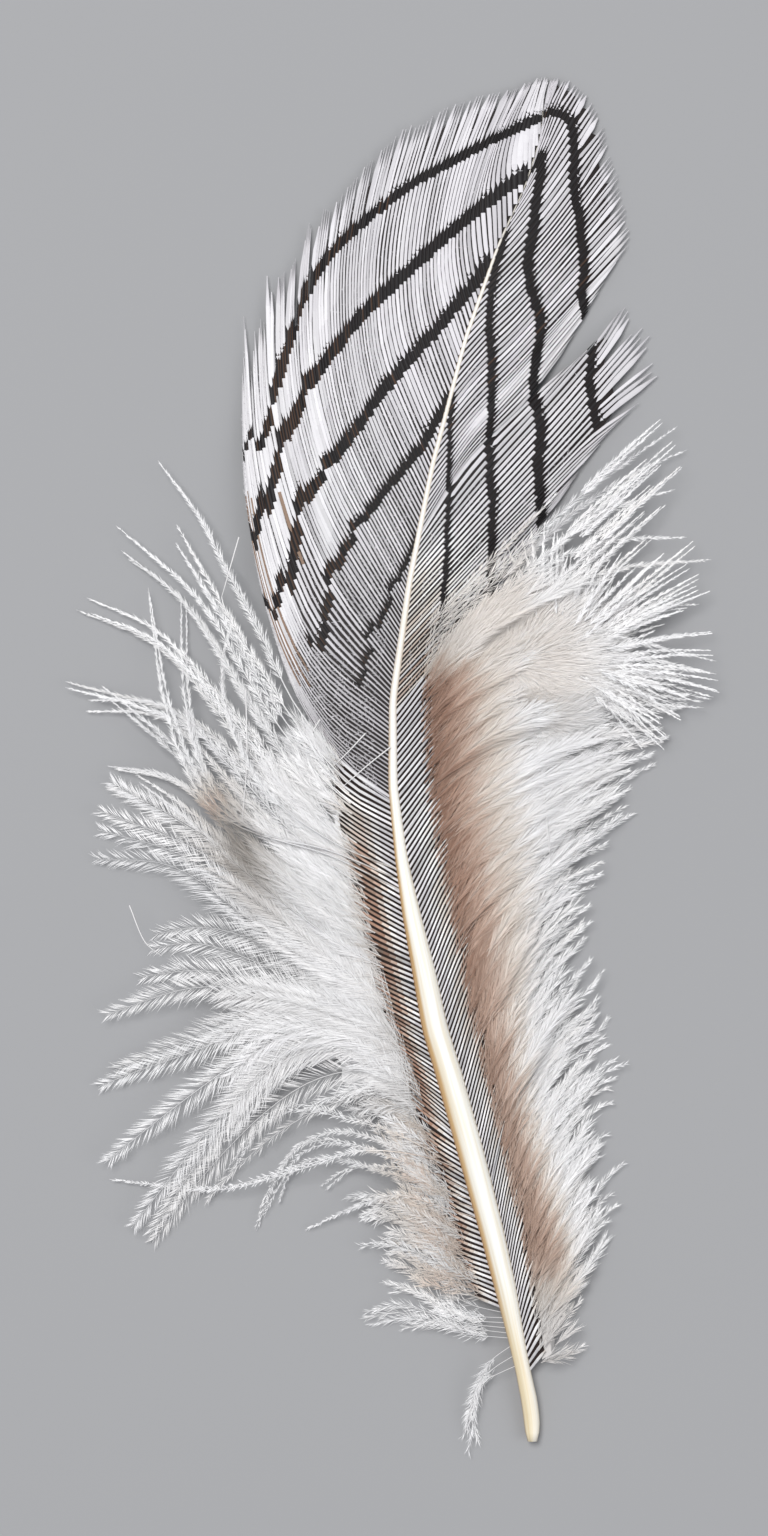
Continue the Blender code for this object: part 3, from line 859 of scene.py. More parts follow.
def bare_barbs(fibres, lines, side, bare, sizes, rng):
    """The combed stretch beside the shaft: flat bare barbs on a near-black film that paints shade into
    the gaps between them.
    """
    count, steps = len(lines), 9
    near = cut_lines(lines, 0.0, bare * 1.3, steps)
    share = np.linspace(0, 1, steps)[None]
    across = sideways(unit(np.gradient(near, axis=1)))
    half = spacing(near) * 0.5 * 0.52 * (1 - 0.6 * ease(share, 0.7, 1.0))
    middle = (near[:, 1:] + near[:, :-1]) / 2
    x, y = middle[..., 0], middle[..., 1]
    away = np.abs(x - shaft_middle(y))
    warm = ease(away, 1.0, 3.4) * ease(-y, -2, 12) * (0.9 if side < 0 else 0.45)
    warm = np.clip(warm + rng.normal(0, 0.08, (count, 1)) * (warm > 0.05), 0, 1)
    tints = mix(0.92, TAN, warm) + rng.normal(0, 0.012, x.shape)
    shades = np.clip(rng.normal(0.6, 0.18, (count, 1)) + 0 * x, 0.05, 0.98)
    add_flat_barbs(fibres, near, across, half, sizes.ridge_height, np.repeat(tints, 4, axis=1),
                   np.repeat(shades, 4, axis=1))
    # The film is nearly black: painted shade of the gaps between the bare barbs.
    add_shade_film(fibres, lines, bare * 1.25, side, 0.16, 0.5 * (BLACK + UMBER))


def add_pad(fibres, guides, span, side, ends, crown, rng):
    """Soft body under the fibres of a lock: it starts where the bare stretch ends, swells with
    the lock and comes down in points. ends gives how far it goes by the height of the root."""
    roots = np.arange(span[0] + 0.1, span[1] - 0.1, -0.3)
    flat = comb_lines(guides, roots, side, VANE_POINTS)
    begin = band_share(flat, side)
    reach = np.maximum(np.interp(roots, *ends) * rng.uniform(0.82, 1.08, len(roots)), begin + 0.04)
    lines = lift_lines(flat, roots, crown, 0.3, rng)
    columns = 22
    spots = cut_lines(lines, begin, reach, columns)
    share = np.linspace(0, 1, columns)[None]
    spots[..., 2] = mix(spots[..., 2] - 0.35, 0.25, ease(share, 0.7, 1.0))
    rows = len(roots)
    a = (np.arange(rows - 1)[:, None] * columns + np.arange(columns - 1)[None]).ravel()
    triangles = np.concatenate([np.stack([a, a + columns, a + 1], axis=1),
                                np.stack([a + 1, a + columns, a + columns + 1], axis=1)])
    triangles = triangles[:, ::side]
    row = np.concatenate([a, a]) // columns
    centre = spots.reshape(-1, 3)[triangles].mean(axis=1)
    vary = rng.normal(0, 0.5, rows)[row]
    tints = down_tint(centre[:, 0], centre[:, 1], vary)
    # Painted shade of the dip of the left down and beside the shaft, with a little random tone.
    light = 0.82 * painted_down_light(centre[:, 0], centre[:, 1]) + 0.05 * vary
    fibres.add(spots, triangles, tints, np.clip(light, 0.05, 0.95))


def make_down(name, node, guides, span, side, sizes, plan, material, seed, extra=(), cover=None):
    """One lock of down: combed barbs from the shaft, a soft body, and fill between them. extra
    gives further barbs with their own plans, and cover adds what lies over the lock."""
    rng = np.random.default_rng(seed)
    top, low = span
    fibres = Fibres()
    roots = np.arange(top, low, -sizes.barb_spacing)
    combed = comb_lines(guides, roots, side, DOWN_POINTS)
    bare = band_share(combed, side)
    if plan["film"]:
        rooted = np.arange(plan.get("film_top", top), low, -sizes.barb_spacing * plan["comb"])
        flats = comb_lines(guides, rooted, side, DOWN_POINTS)
        edge = band_share(flats, side)
        flats = lift_lines(flats, rooted, plan["crown"] * 0.5, 0.3, rng)
        bare_barbs(fibres, flats, side, edge, sizes, rng)
    if plan["pad"]:
        body = (plan.get("body_top", top), low)
        add_pad(fibres, guides, body, side, plan["pad"], plan["crown"] * 0.5, rng)
    combed, roots, bare = (rows[::plan["every"]] for rows in (combed, roots, bare))
    combed = attract(combed, roots, guides, side, plan["part"], plan["pull"], rng)
    combed = scatter(combed, plan["scatter"], 0.2, rng)
    room = HALF_WIDTH - 0.3 - np.abs(combed[:, -1, 0])
    longer = rng.normal(-0.2, 1.0, len(roots)) * plan["ragged"]
    combed = stretch_tips(combed, np.minimum(longer, room))
    crown = mix(plan["crown"] * rng.uniform(0.25, 0.75, len(roots)), plan["crown"] * 0.5, 0.5)
    lines = lift_lines(combed, roots, crown, rng.uniform(0.2, plan["tip"], len(roots)), rng, 0.12)
    thin = 1 - ease(-roots, *plan["thin"]) if "thin" in plan else np.zeros(len(roots))
    if plan["film"]:
        lines = cut_lines(lines, bare * 0.9, 1.0, DOWN_POINTS)
        bare = 0.3 * thin
    dress(fibres, lines, sizes, plan, bare, rng)

    # The fill has no bare stretch and no free tip: it only thickens the body of the lock.
    number = int((top - low) / 0.55 * plan["layers"])
    roots = rng.uniform(low, plan.get("body_top", top), number)
    fill = comb_lines(guides, roots, side, DOWN_POINTS)
    bare = band_share(fill, side)
    fill = attract(fill, roots, guides, side, plan["part"], plan["pull"], rng)
    fill = scatter(fill, plan["scatter"] * 1.4, 0.15, rng)
    crown = plan["crown"] * mix(0.5, rng.uniform(0.2, 0.9, number), 0.6)
    fill = lift_lines(fill, roots, crown, rng.uniform(0.2, plan["tip"], number), rng, 0.12)
    begin = bare * rng.uniform(0.9, 1.9, number)
    end = mix(*plan["fill_end"], rng.random(number) ** 1.5)
    if "thin" in plan:
        end = end * mix(1.0, 0.45, 1 - ease(-roots, *plan["thin"]))
    fill = cut_lines(fill, begin, np.clip(end, begin + 0.1, 1.0), 14)
    dense = {**plan, "density": plan["fill_density"], "reach": plan["fill_reach"],
             "angles": plan["fill_angles"], "thickness": 0.6}
    dress(fibres, fill, sizes, dense, np.zeros(number), rng)
    for shapes, changes, times in extra:
        heights = np.array([guide[0] for guide in shapes])
        picks = heights[np.tile(np.arange(len(shapes)), times)]
        more = scatter(comb_lines(shapes, picks, side, DOWN_POINTS), changes["scatter"], 0.1, rng)
        tips = rng.uniform(0.2, changes["tip"], len(picks))
        more = lift_lines(more, picks, changes["crown"], tips, rng)
        dress(fibres, more, sizes, {**plan, **changes}, np.full(len(picks), changes["from"]), rng)
    if cover:
        cover(fibres)
    hang(fibres.build(name, material), node)


def add_hairs(fibres, hairs, lift, sizes, rng, thickness=1.0):
    """Single long hairs that lie over the rest; lift gives the heights of their two ends."""
    lines = np.array([smooth_path(points, HAIR_POINTS) for points in hairs])
    rise = np.linspace(*lift, HAIR_POINTS)[None] + rng.uniform(-0.3, 0.3, (len(hairs), 1))
    lines = np.dstack([lines, rise])
    taper = 1 - 0.7 * np.linspace(0, 1, HAIR_POINTS)[None] ** 3
    thick = thickness * 0.5 * sizes.barb_thickness * taper
    tints = np.full(lines.shape[:2], WHITE - 0.02)
    shades = np.full(lines.shape[:2], 0.9)
    add_strands(fibres, lines, thick * np.ones((len(hairs), 1)), tints, shades)


def add_puff(fibres, sizes, rng):
    """The round soft puff at the top of the right down: a body, short fur that parts from its
    lower left and lies over it, and barbs that stand out from it all round."""
    centre, radii = np.array(PUFF_CENTRE), np.array(PUFF_RADII)
    shape = bmesh.new()
    bmesh.ops.create_icosphere(shape, subdivisions=5, radius=1.0)
    ball, triangles = take_apart(shape)
    body = centre + ball * radii * (1 + 0.03 * np.sin(ball[:, :1] * 9) * np.cos(ball[:, 1:2] * 8))
    middle = body[triangles].mean(axis=1)
    tints = puff_tint(middle[:, 0], middle[:, 1])
    fibres.add(body, triangles, tints, np.full(len(tints), 0.9))

    count = PUFF_FUR
    normal = unit(rng.normal(0, 1, (count, 3)))
    normal[:, 2] = np.where(normal[:, 2] < -0.25, -normal[:, 2], normal[:, 2])
    base = centre + normal * radii * rng.uniform(0.95, 1.06, (count, 1))
    radial = unit(base[:, :2] - np.array(PUFF_PARTING))
    low = ease(7.6 - base[:, 1:2], 0, 2.5)
    flow = unit(np.column_stack([mix(radial, np.array((0.66, 0.75)), low), np.zeros(count)]))
    facing = unit(normal / radii)
    flow = flow - (flow * facing).sum(axis=1)[:, None] * facing
    direction = unit(flow + 0.22 * facing + rng.normal(0, 0.13, (count, 3)))
    tints = puff_tint(base[:, 0], base[:, 1]) + rng.normal(0, 0.015, count)
    size = rng.uniform(1.4, 3.0, count)
    add_barbules(fibres, base, direction, size, sizes.barbule_width * rng.uniform(0.6, 1.1, count),
                 tints, rng.uniform(0.75, 0.97, count), rng, 0.2)

    count = PUFF_BARBS
    turn = np.radians(rng.uniform(-40, 112, count))
    way = np.stack([np.cos(turn), np.sin(turn)], axis=1)
    near = rng.uniform(2.5, 5.0, count)
    far = near + rng.uniform(4.0, 8.0, count)
    share = np.linspace(0, 1, HAIR_POINTS)[None, :, None]
    run = mix(near[:, None, None], far[:, None, None], share)
    side = np.stack([-way[:, 1], way[:, 0]], axis=1) * rng.normal(0, 1.0, (count, 1))
    flat = centre[:2] + way[:, None, :] * run + side[:, None, :] * (share**1.6)
    rise = mix(rng.uniform(2.5, 6.3, count), rng.uniform(0.6, 5.5, count), share[..., 0].T).T
    hairs = [((mix(centre[0], x, 0.35), mix(centre[1], y, 0.35)), (x, y)) for x, y in PUFF_SPIKES]
    hairs += [((x - 7.0, y - 6.4), (x, y)) for x, y in PUFF_SPRAY]
    bowed = [((a, b), ((a + c) / 2 + 0.25, (b + d) / 2 + 0.3), (c, d)) for (a, b), (c, d) in hairs]
    long = np.array([smooth_path(points, HAIR_POINTS) for points in bowed])
    flat = np.concatenate([flat, long, long + rng.normal(0, 0.25, (len(long), 1, 2))])
    twice = 2 * len(long)
    high = mix(rng.uniform(4.0, 5.2, twice), rng.uniform(1.5, 4.0, twice), share[..., 0].T).T
    barbs = np.dstack([flat, np.concatenate([rise, high])])
    plan = {**LOCK, "density": 15, "angles": (20, 7), "reach": (1.0, 0.75, 0.25), "roll": 0.6,
            "loose": 4, "light": (0.8, 0.97), "tilt": 0.3, "least_tint": CREAM + 0.1,
            "thickness": 1.7}
    dress(fibres, barbs, sizes, plan, np.zeros(len(barbs)), rng)


def puff_tint(x, y):
    """Cream at the parting of the puff, white at its rim."""
    away = np.hypot(x - PUFF_PARTING[0], y - PUFF_PARTING[1])
    return mix(CREAM + 0.07, WHITE, ease(away, 3.0, 9.5))


# ---------------------------------------------------------------- materials


def add_node(tree, kind, inputs, **settings):
    """New node; each of its inputs takes a value or is fed by the output of another node."""
    node = tree.nodes.new(kind)
    for name, value in settings.items():
        setattr(node, name, value)
    feed(tree, node, inputs)
    return node


def feed(tree, node, inputs):
    for name, value in inputs.items():
        if isinstance(value, bpy.types.NodeSocket):
            tree.links.new(value, node.inputs[name])
        else:
            node.inputs[name].default_value = value


def add_ramp(tree, source, stops):
    """Colours that run through the stops as the source grows."""
    ramp = add_node(tree, "ShaderNodeValToRGB", {"Fac": source})
    elements = ramp.color_ramp.elements
    for element, (place, colour) in zip(elements, (stops[0], stops[-1])):
        element.position, element.color = place, (*colour, 1)
    for place, colour in stops[1:-1]:
        elements.new(place).color = (*colour, 1)
    return ramp.outputs["Color"]


def mix_colours(tree, share, below, above, blend="MIX"):
    """Colour above laid over colour below; inputs 6 and 7 and output 2 are the node's colours."""
    node = add_node(tree, "ShaderNodeMix", {}, data_type="RGBA", blend_type=blend)
    feed(tree, node, {0: share, 6: below, 7: above})
    return node.outputs[2]


def new_material(name):
    material = bpy.data.materials.new(name)
    material.use_nodes = True
    return material, material.node_tree, material.node_tree.nodes["Principled BSDF"]


def tint_group():
    """Colour of a fibre from its place on the tint map: tint across, shade upwards."""
    group = bpy.data.node_groups.get("Fibre Tint")
    if group:
        return group
    group = bpy.data.node_groups.new("Fibre Tint", "ShaderNodeTree")
    for name, way, kind in (("Map", "INPUT", "Vector"), ("Shade Depth", "INPUT", "Float"),
                            ("Color", "OUTPUT", "Color")):
        group.interface.new_socket(name, in_out=way, socket_type="NodeSocket" + kind)
    taken = add_node(group, "NodeGroupInput", {}).outputs
    split = add_node(group, "ShaderNodeSeparateXYZ", {0: taken["Map"]}).outputs
    tone = add_ramp(group, split["X"], TINT_COLOURS)
    depth = taken["Shade Depth"]
    darkest = add_node(group, "ShaderNodeMath", {0: 1.0, 1: depth}, operation="SUBTRACT").outputs[0]
    light = add_node(group, "ShaderNodeMath", {0: split["Y"], 1: depth, 2: darkest},
                     operation="MULTIPLY_ADD").outputs[0]
    shaded = add_node(group, "ShaderNodeVectorMath", {0: tone, "Scale": light}, operation="SCALE")
    add_node(group, "NodeGroupOutput", {"Color": shaded.outputs[0]})
    return group


def fibre_material(name, depth, roughness=0.8, sheen=0.3):
    """Finish of barbs and barbules; depth is how much darker the darkest shade is."""
    material, tree, shader = new_material(name)
    place = add_node(tree, "ShaderNodeUVMap", {}, uv_map="OFBake")
    tint = add_node(tree, "ShaderNodeGroup", {}, node_tree=tint_group())
    feed(tree, tint, {"Map": place.outputs["UV"], "Shade Depth": depth})
    feed(tree, shader, {"Base Color": tint.outputs["Color"], "Roughness": roughness,
                        "Specular IOR Level": 0.25, "Sheen Weight": sheen})
    return material


# Colours round the shaft, from its left side (0.25) over its ridge (0.5) to its right side.
# Their cream and amber are the shaft's own; the light ridge is partly a painted highlight, and the
# darker flanks partly painted shade.
HORN_QUILL = (
    (0.25, (0.56, 0.40, 0.20)), (0.36, (0.78, 0.68, 0.48)), (0.46, (0.80, 0.70, 0.50)),
    (0.60, (0.88, 0.86, 0.80)), (0.72, (0.80, 0.72, 0.56)))
HORN_BELOW = (
    (0.20, (0.36, 0.20, 0.08)), (0.31, (0.48, 0.28, 0.12)), (0.37, (0.62, 0.43, 0.22)),
    (0.41, (0.82, 0.77, 0.66)), (0.50, (0.88, 0.87, 0.82)), (0.66, (0.87, 0.86, 0.80)),
    (0.74, (0.70, 0.58, 0.40)))
HORN_ABOVE = (
    (0.20, (0.42, 0.30, 0.20)), (0.31, (0.62, 0.50, 0.36)), (0.37, (0.80, 0.76, 0.70)),
    (0.50, (0.86, 0.84, 0.80)), (0.62, (0.80, 0.76, 0.70)), (0.72, (0.50, 0.38, 0.26)))


def horn_material(roughness):
    """Shaft: cream ridge with some painted highlight, amber flank on the left, flanks darkened partly
    by painted shade, fine lines along its length.
    """
    material, tree, shader = new_material("horn")
    place = add_node(tree, "ShaderNodeUVMap", {}, uv_map="OFBake").outputs["UV"]
    split = add_node(tree, "ShaderNodeSeparateXYZ", {0: place}).outputs
    tone = add_ramp(tree, split["X"], HORN_QUILL)
    for stops, start, end in ((HORN_BELOW, 0.07, 0.13), (HORN_ABOVE, 0.44, 0.55)):
        climb = add_node(tree, "ShaderNodeMapRange",
                         {"Value": split["Y"], "From Min": start, "From Max": end})
        tone = mix_colours(tree, climb.outputs["Result"], tone, add_ramp(tree, split["X"], stops))
    stretch = add_node(tree, "ShaderNodeMapping", {"Vector": place, "Scale": (26, 9, 1)})
    noise = {"Vector": stretch.outputs["Vector"], "Scale": 1.0, "Detail": 4.0}
    grain = add_node(tree, "ShaderNodeTexNoise", noise).outputs["Fac"]
    lines = add_ramp(tree, grain, ((0.38, (0.86, 0.72, 0.48)), (0.56, (1, 1, 1))))
    tone = mix_colours(tree, 0.4, tone, lines, "MULTIPLY")
    bump = add_node(tree, "ShaderNodeBump", {"Height": grain, "Strength": 0.35, "Distance": 0.00008})
    feed(tree, shader, {"Base Color": tone, "Normal": bump.outputs["Normal"],
                        "Roughness": roughness, "Coat Weight": 0.15})
    return material


def floor_material(colour):
    """Matt pale floor with a faint cloudiness."""
    material, tree, shader = new_material("pale floor")
    place = add_node(tree, "ShaderNodeTexCoord", {})
    cloud = add_node(tree, "ShaderNodeTexNoise", {"Vector": place.outputs["Object"], "Scale": 9.0})
    tone = add_ramp(tree, cloud.outputs["Fac"], ((0, [c * 0.97 for c in colour]), (1, colour)))
    feed(tree, shader, {"Base Color": tone, "Roughness": 0.9, "Specular IOR Level": 0.1})
    return material


# ---------------------------------------------------------------- settings


class FeatherSizes(bpy.types.PropertyGroup):
    """Sizes of the combed parts, in millimetres of the feather."""

    barb_spacing: FloatProperty(
        name="Barb Spacing", description="Distance between barb roots along the shaft",
        default=0.45, min=0.3)
    ridge_height: FloatProperty(
        name="Ridge Height", description="How far a barb stands over the film of the vane",
        default=0.10, min=0.0)
    film_drop: FloatProperty(
        name="Film Drop", description="How far the film lies under the edges of the barbs",
        default=0.10, min=0.0)
    tooth_length: FloatProperty(
        name="Tooth Length", description="Length of the white points that reach into a bar",
        default=0.55, min=0.0)
    vane_barbules: FloatProperty(
        name="Vane Barbules", description="Short barbules on each millimetre of a vane barb",
        default=7.0, min=0.0)
    barb_thickness: FloatProperty(
        name="Down Barb Thickness", description="Thickness of a down barb at its root",
        default=0.11, min=0.02)
    barbule_width: FloatProperty(
        name="Barbule Width", description="Width of a down barbule at its middle",
        default=0.06, min=0.01)
    horn_roughness: FloatProperty(
        name="Horn Roughness", description="How dull the shaft is", default=0.42, min=0, max=1,
        subtype="FACTOR")
    shaft_rings: IntProperty(
        name="Shaft Rings", description="Rings along the shaft", default=150, min=20)


class FeatherStage(bpy.types.PropertyGroup):
    """Floor and light."""

    floor_colour: FloatVectorProperty(
        name="Floor Colour", description="Colour of the pale floor",
        default=(0.34, 0.34, 0.345), min=0, max=1, subtype="COLOR")
    key_power: FloatProperty(
        name="Key Light", description="Power of the main soft light", default=54.0, unit="POWER")
    fill_power: FloatProperty(
        name="Fill Light", description="Power of the fill light", default=14.4, unit="POWER")
    world_strength: FloatProperty(
        name="Room Light", description="Strength of the even light of the room", default=0.43)


# ---------------------------------------------------------------- operators


class OBJECT_OT_feather_shaft(bpy.types.Operator):
    """Makes the shaft with its ridge, flanks and cut quill"""

    bl_idname = "object.feather_shaft"
    bl_label = "Feather Shaft"

    def execute(self, context):
        sizes = context.scene.feather_sizes
        around, rings = 20, sizes.shaft_rings
        shape = bmesh.new()
        bmesh.ops.create_grid(shape, x_segments=around, y_segments=rings, size=0.5)
        tint_map = shape.loops.layers.uv.new("OFBake")
        low, high = SHAFT[0, 0] - 0.05, SHAFT[-1, 0] + 0.02
        for face in shape.faces:
            face.smooth = True
            for loop in face.loops:
                x, y = loop.vert.co.x, loop.vert.co.y
                loop[tint_map].uv = (0.01 + 0.98 * (x + 0.5), 0.01 + 0.98 * (y + 0.5))
        for vert in shape.verts:
            turn, share = vert.co.x + 0.5, vert.co.y + 0.5
            y = low + (high - low) * share
            middle, height = float(shaft_middle(y)), float(shaft_height(y))
            # Thinner and lower than the solid near the tip, and thicker along the down.
            half = float(shaft_half_width(y)) * (1 - 0.5 * float(ease(y, 42, 50)))
            half *= 1 + 0.17 * float(ease(-y, 6, 22) * ease(y, -52, -45))
            height -= 0.35 * float(ease(y, 43, 50))
            # The turn starts underneath, climbs the left flank, and crosses the ridge halfway.
            angle = math.radians(-90 - 360 * turn)
            rounded_end = min(1.0, 0.84 + 0.5 * (y - low))
            groove = 1 - 0.10 * math.exp(-((turn - 0.40) / 0.03) ** 2) * (1 - ease(y, -30, -8))
            reach = half * rounded_end * groove
            flat = 1.0 if math.sin(angle) < 0 else 0.92
            vert.co.x = MIDDLE[0] + (middle + reach * math.cos(angle)) * MM
            vert.co.y = MIDDLE[1] + y * MM
            vert.co.z = MIDDLE[2] + max(0.0, height + reach * flat * math.sin(angle)) * MM
        bmesh.ops.remove_doubles(shape, verts=shape.verts, dist=1e-8)
        edges = [edge for edge in shape.edges if edge.is_boundary]
        ends = bmesh.ops.holes_fill(shape, edges=edges, sides=0)["faces"]
        bmesh.ops.recalc_face_normals(shape, faces=shape.faces)
        for face in ends:
            for loop in face.loops:
                turn = math.atan2(loop.vert.co.z, loop.vert.co.x)
                loop[tint_map].uv = (0.5 + 0.004 * math.cos(turn), 0.004 + 0.002 * math.sin(turn))
        mesh = bpy.data.meshes.new("horn_shaft")
        shape.to_mesh(mesh)
        shape.free()
        piece = place_piece("horn_shaft", mesh, horn_material(sizes.horn_roughness))
        hang(piece, "shaft")
        return {"FINISHED"}


class OBJECT_OT_feather_vanes(bpy.types.Operator):
    """Makes the barred vanes: the left one and the two parts of the right one"""

    bl_idname = "object.feather_vanes"
    bl_label = "Feather Vanes"

    def execute(self, context):
        sizes = context.scene.feather_sizes
        material = fibre_material("barb finish", 0.42, roughness=0.55, sheen=0.1)
        make_vane("barbs_left", "vane_left", LEFT_VANE, LEFT_BARS, -1, sizes,
                  lambda y: 0.2 + 1.5 * ease(18 - y, 0, 6) * ease(y, -3, 1),
                  lambda x, y: 0.15 + 0.5 * ease(46 + 0.6 * x - y, 0, 12), material, 11)
        make_vane("barbs_right_upper", "vane_right_upper", RIGHT_VANE_UPPER, RIGHT_BARS, 1, sizes,
                  lambda y: 0.2 + 0 * y, lambda x, y: 0.05 + 0 * x, material, 12)
        make_vane("barbs_right_lower", "vane_right_lower", RIGHT_VANE_LOWER, RIGHT_BARS, 1, sizes,
                  lambda y: 0.7 + 0 * y, lambda x, y: 0.2 + 0 * x, material, 13)
        return {"FINISHED"}


class OBJECT_OT_feather_down_left(bpy.types.Operator):
    """Makes the three locks of down on the left"""

    bl_idname = "object.feather_down_left"
    bl_label = "Left Down"

    def execute(self, context):
        sizes = context.scene.feather_sizes
        material = fibre_material("down finish left", 0.64)
        rng = np.random.default_rng(24)
        body = ((-48, -36, -30, -20, -13, -9, -4), (0.45, 0.4, 0.45, 0.48, 0.42, 0.22, 0.1))
        plumes = {**LOCK, "pull": 0.97, "part": 0.12, "scatter": 0.3, "density": 20,
                  "reach": (1.5, 1.3, 0.35), "angles": (26, 11), "width": 0.8, "pad": body,
                  "fill_end": (0.25, 0.6), "thin": (5, 14), "thickness": 1.5, "light": (0.55, 1.0)}
        upright = {"scatter": 0.3, "crown": 3.0, "tip": 2.5, "from": 0.4, "density": 16,
                   "angles": (22, 8), "reach": (1.2, 1.1, 0.3)}
        make_down("fluff_left_upper", "down_left_upper", LEFT_DOWN, (-2.9, -19.7), -1, sizes,
                  plumes, material, 21, extra=((LEFT_UPRIGHT_PLUMES, upright, 2),),
                  cover=lambda fibres: add_hairs(fibres, LEFT_HAIRS, (4.6, 4.7), sizes, rng, 1.3))
        fern = {**LOCK, "crown": 1.8, "tip": 1.6, "angles": (40, 30), "reach": (2.8, 3.0, 1.1),
                "pull": 0.97, "fill_angles": (24, 28), "fill_reach": (2.4, 2.8, 1.6),
                "density": 15, "loose": 4, "fill_end": (0.3, 0.7), "even": 0.7, "pad": body,
                "roll": 0.2, "width": 0.95, "part": 0.3, "scatter": 0.25}
        make_down("fluff_left_middle", "down_left_middle", LEFT_DOWN, (-19.8, -32.9), -1, sizes,
                  fern, material, 22)
        thread = {"scatter": 0.2, "crown": 0.8, "tip": 0.8, "from": 0.25, "density": 8,
                  "angles": (38, 25), "reach": (0.5, 0.7, 0.35)}
        soft = {**LOCK, "crown": 1.2, "tip": 1.8, "angles": (34, 22), "reach": (1.0, 1.4, 0.8),
                "scatter": 0.4, "fill_end": (0.5, 1.0), "layers": 2.4, "every": 1,
                "density": 9, "fill_density": 13, "fill_angles": (28, 26), "roll": 0.7,
                "fill_reach": (1.2, 1.6, 1.0), "light": (0.55, 0.97)}
        make_down("fluff_left_lower", "down_left_lower", LEFT_DOWN, (-33.0, -48.2), -1, sizes,
                  soft, material, 23, extra=((LEFT_THREADS, thread, 2),))
        return {"FINISHED"}


class OBJECT_OT_feather_down_right(bpy.types.Operator):
    """Makes the three locks of down on the right"""

    bl_idname = "object.feather_down_right"
    bl_label = "Right Down"

    def execute(self, context):
        sizes = context.scene.feather_sizes
        material = fibre_material("down finish right", 0.58)
        rng = np.random.default_rng(34)
        body = ((-54, -44, -30, -10, -2, 3, 6, 8.1), (0.5, 0.6, 0.68, 0.66, 0.62, 0.5, 0.4, 0.3))
        fur = {**LOCK, "layers": 4.5, "scatter": 0.4, "pull": 0.3, "crown": 3.8, "tip": 2.2,
               "angles": (24, 16), "reach": (1.6, 1.7, 0.6), "pad": body,
               "fill_end": (0.4, 0.9), "fill_density": 19, "fill_angles": (11, 14),
               "fill_reach": (3.2, 3.2, 1.8), "roll": 0.3, "loose": 4, "tilt": 0.15,
               "light": (0.8, 0.95), "width": 0.72, "comb": 1.25}
        puff = {**fur, "crown": 4.4, "tip": 3.2, "reach": (1.7, 1.4, 0.3), "roll": 0.5,
                "film_top": 4.4, "body_top": 4.9, "fill_end": (0.3, 0.7), "scatter": 0.5}
        make_down("fluff_right_upper", "down_right_upper", RIGHT_DOWN, (8.1, -6.3), 1, sizes,
                  puff, material, 31, cover=lambda fibres: add_puff(fibres, sizes, rng))
        make_down("fluff_right_middle", "down_right_middle", RIGHT_DOWN, (-6.4, -37.6), 1, sizes,
                  fur, material, 32,
                  cover=lambda fibres: add_hairs(fibres, RIGHT_HAIRS, (4.6, 5.2), sizes, rng))
        lower = {**fur, "crown": 2.2, "tip": 1.5, "scatter": 0.35, "reach": (1.3, 1.5, 0.7),
                 "layers": 4.0, "fill_reach": (2.2, 2.4, 1.4)}
        make_down("fluff_right_lower", "down_right_lower", RIGHT_DOWN, (-37.7, -54.0), 1, sizes,
                  lower, material, 33)
        return {"FINISHED"}


class OBJECT_OT_feather_base_tufts(bpy.types.Operator):
    """Makes the small tuft and the wisp by the quill"""

    bl_idname = "object.feather_base_tufts"
    bl_label = "Base Tufts"

    def execute(self, context):
        sizes = context.scene.feather_sizes
        material = fibre_material("down finish base", 0.36)
        small = {**LOCK, "layers": 1.6, "scatter": 0.3, "ragged": 0.4, "crown": 0.5, "tip": 1.0,
                 "film": False, "every": 1, "density": 9, "angles": (30, 18), "width": 0.7,
                 "reach": (0.5, 1.5, 0.8), "fill_density": 8, "fill_reach": (0.5, 1.4, 0.8),
                 "fill_angles": (30, 18), "fill_end": (0.7, 1.0), "thickness": 0.75, "pull": 0.5,
                 "loose": 9}
        make_down("base_tuft", "tuft_left_base", LEFT_DOWN, (-48.3, -50.9), -1, sizes, small,
                  material, 41)
        thin = {**small, "layers": 1, "scatter": 0.1, "density": 8, "angles": (24, 12),
                "reach": (0.2, 1.5, 0.8), "every": 2, "least_tint": CREAM + 0.08}
        make_down("quill_wisp", "wisp_left_base", WISP, (-51.2, -53.0), -1, sizes, thin, material,
                  42)
        return {"FINISHED"}


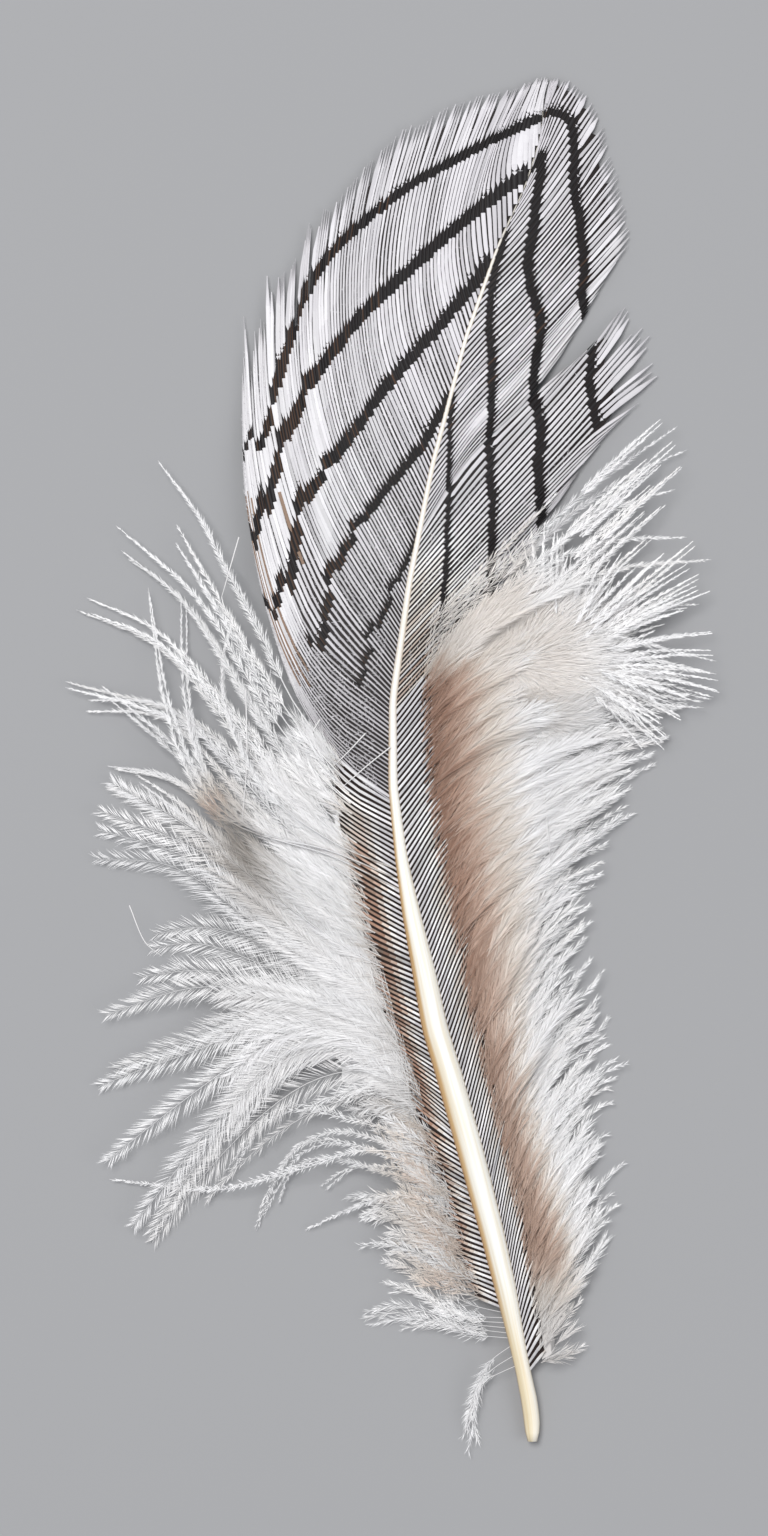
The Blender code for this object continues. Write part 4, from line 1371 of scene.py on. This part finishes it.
class OBJECT_OT_feather_stage(bpy.types.Operator):
    """Lays the pale floor and sets the soft lights and the camera"""

    bl_idname = "object.feather_stage"
    bl_label = "Feather Stage"

    def execute(self, context):
        scene, stage = context.scene, context.scene.feather_stage
        shape = bmesh.new()
        bmesh.ops.create_grid(shape, x_segments=1, y_segments=1, size=3.0)
        mesh = bpy.data.meshes.new("floor")
        shape.to_mesh(mesh)
        shape.free()
        floor = place_piece("floor", mesh, floor_material(stage.floor_colour))
        floor.location.z = CAD_LOW.z
        centre = (CAD_LOW + CAD_HIGH) / 2
        size = (CAD_HIGH - CAD_LOW).y
        lights = (("key", (-1.5, 1.6, 7.0), 3.7, stage.key_power),
                  ("fill", (5.3, -1.7, 5.3), 5.3, stage.fill_power))
        for name, (x, y, z), wide, power in lights:
            data = bpy.data.lights.new(name, "AREA")
            data.shape = "DISK"
            data.size = wide * size
            data.energy = power * size
            lamp = bpy.data.objects.new(name, data)
            lamp.location = centre.x + x * size, centre.y + y * size, centre.z + z * size
            way = centre - lamp.location
            lamp.rotation_euler = way.to_track_quat("-Z", "Y").to_euler()
            scene.collection.objects.link(lamp)
        world = bpy.data.worlds.new("room")
        world.use_nodes = True
        feed(world.node_tree, world.node_tree.nodes["Background"],
             {"Color": (0.9, 0.93, 1.0, 1), "Strength": stage.world_strength})
        scene.world = world
        scene.view_settings.view_transform = "Standard"
        scene.cycles.use_denoising = True
        # The view takes in a little more than the feather's length, straight from above.
        camera = bpy.data.cameras.new("camera")
        camera.lens = 180
        camera.sensor_width = 36
        view_height = 135.3 * MM
        far = view_height / 2 * camera.lens / (camera.sensor_width / 2)
        eye = bpy.data.objects.new("camera", camera)
        eye.location = centre.x - 0.57 * MM, centre.y - 0.35 * MM, CAD_LOW.z + 1.5 * MM + far
        camera.clip_end = 20
        scene.collection.objects.link(eye)
        scene.camera = eye
        return {"FINISHED"}


class VIEW3D_PT_feather(bpy.types.Panel):
    """Steps of making the feather"""

    bl_label = "Barred Feather"
    bl_space_type = "VIEW_3D"
    bl_region_type = "UI"
    bl_category = "Feather"

    def draw(self, context):
        for step in STEPS:
            self.layout.operator(step.bl_idname)
        for group in (context.scene.feather_sizes, context.scene.feather_stage):
            for name in group.__annotations__:
                self.layout.prop(group, name)


STEPS = (
    OBJECT_OT_feather_shaft,
    OBJECT_OT_feather_vanes,
    OBJECT_OT_feather_down_left,
    OBJECT_OT_feather_down_right,
    OBJECT_OT_feather_base_tufts,
    OBJECT_OT_feather_stage,
)
CLASSES = (FeatherSizes, FeatherStage, *STEPS, VIEW3D_PT_feather)


def register():
    for cls in CLASSES:
        bpy.utils.register_class(cls)
    bpy.types.Scene.feather_sizes = PointerProperty(type=FeatherSizes)
    bpy.types.Scene.feather_stage = PointerProperty(type=FeatherStage)


def unregister():
    del bpy.types.Scene.feather_stage
    del bpy.types.Scene.feather_sizes
    for cls in reversed(CLASSES):
        bpy.utils.unregister_class(cls)


def main():
    register()
    bpy.ops.object.feather_shaft()
    bpy.ops.object.feather_vanes()
    bpy.ops.object.feather_down_left()
    bpy.ops.object.feather_down_right()
    bpy.ops.object.feather_base_tufts()
    bpy.ops.object.feather_stage()


if __name__ == "__main__":
    main()
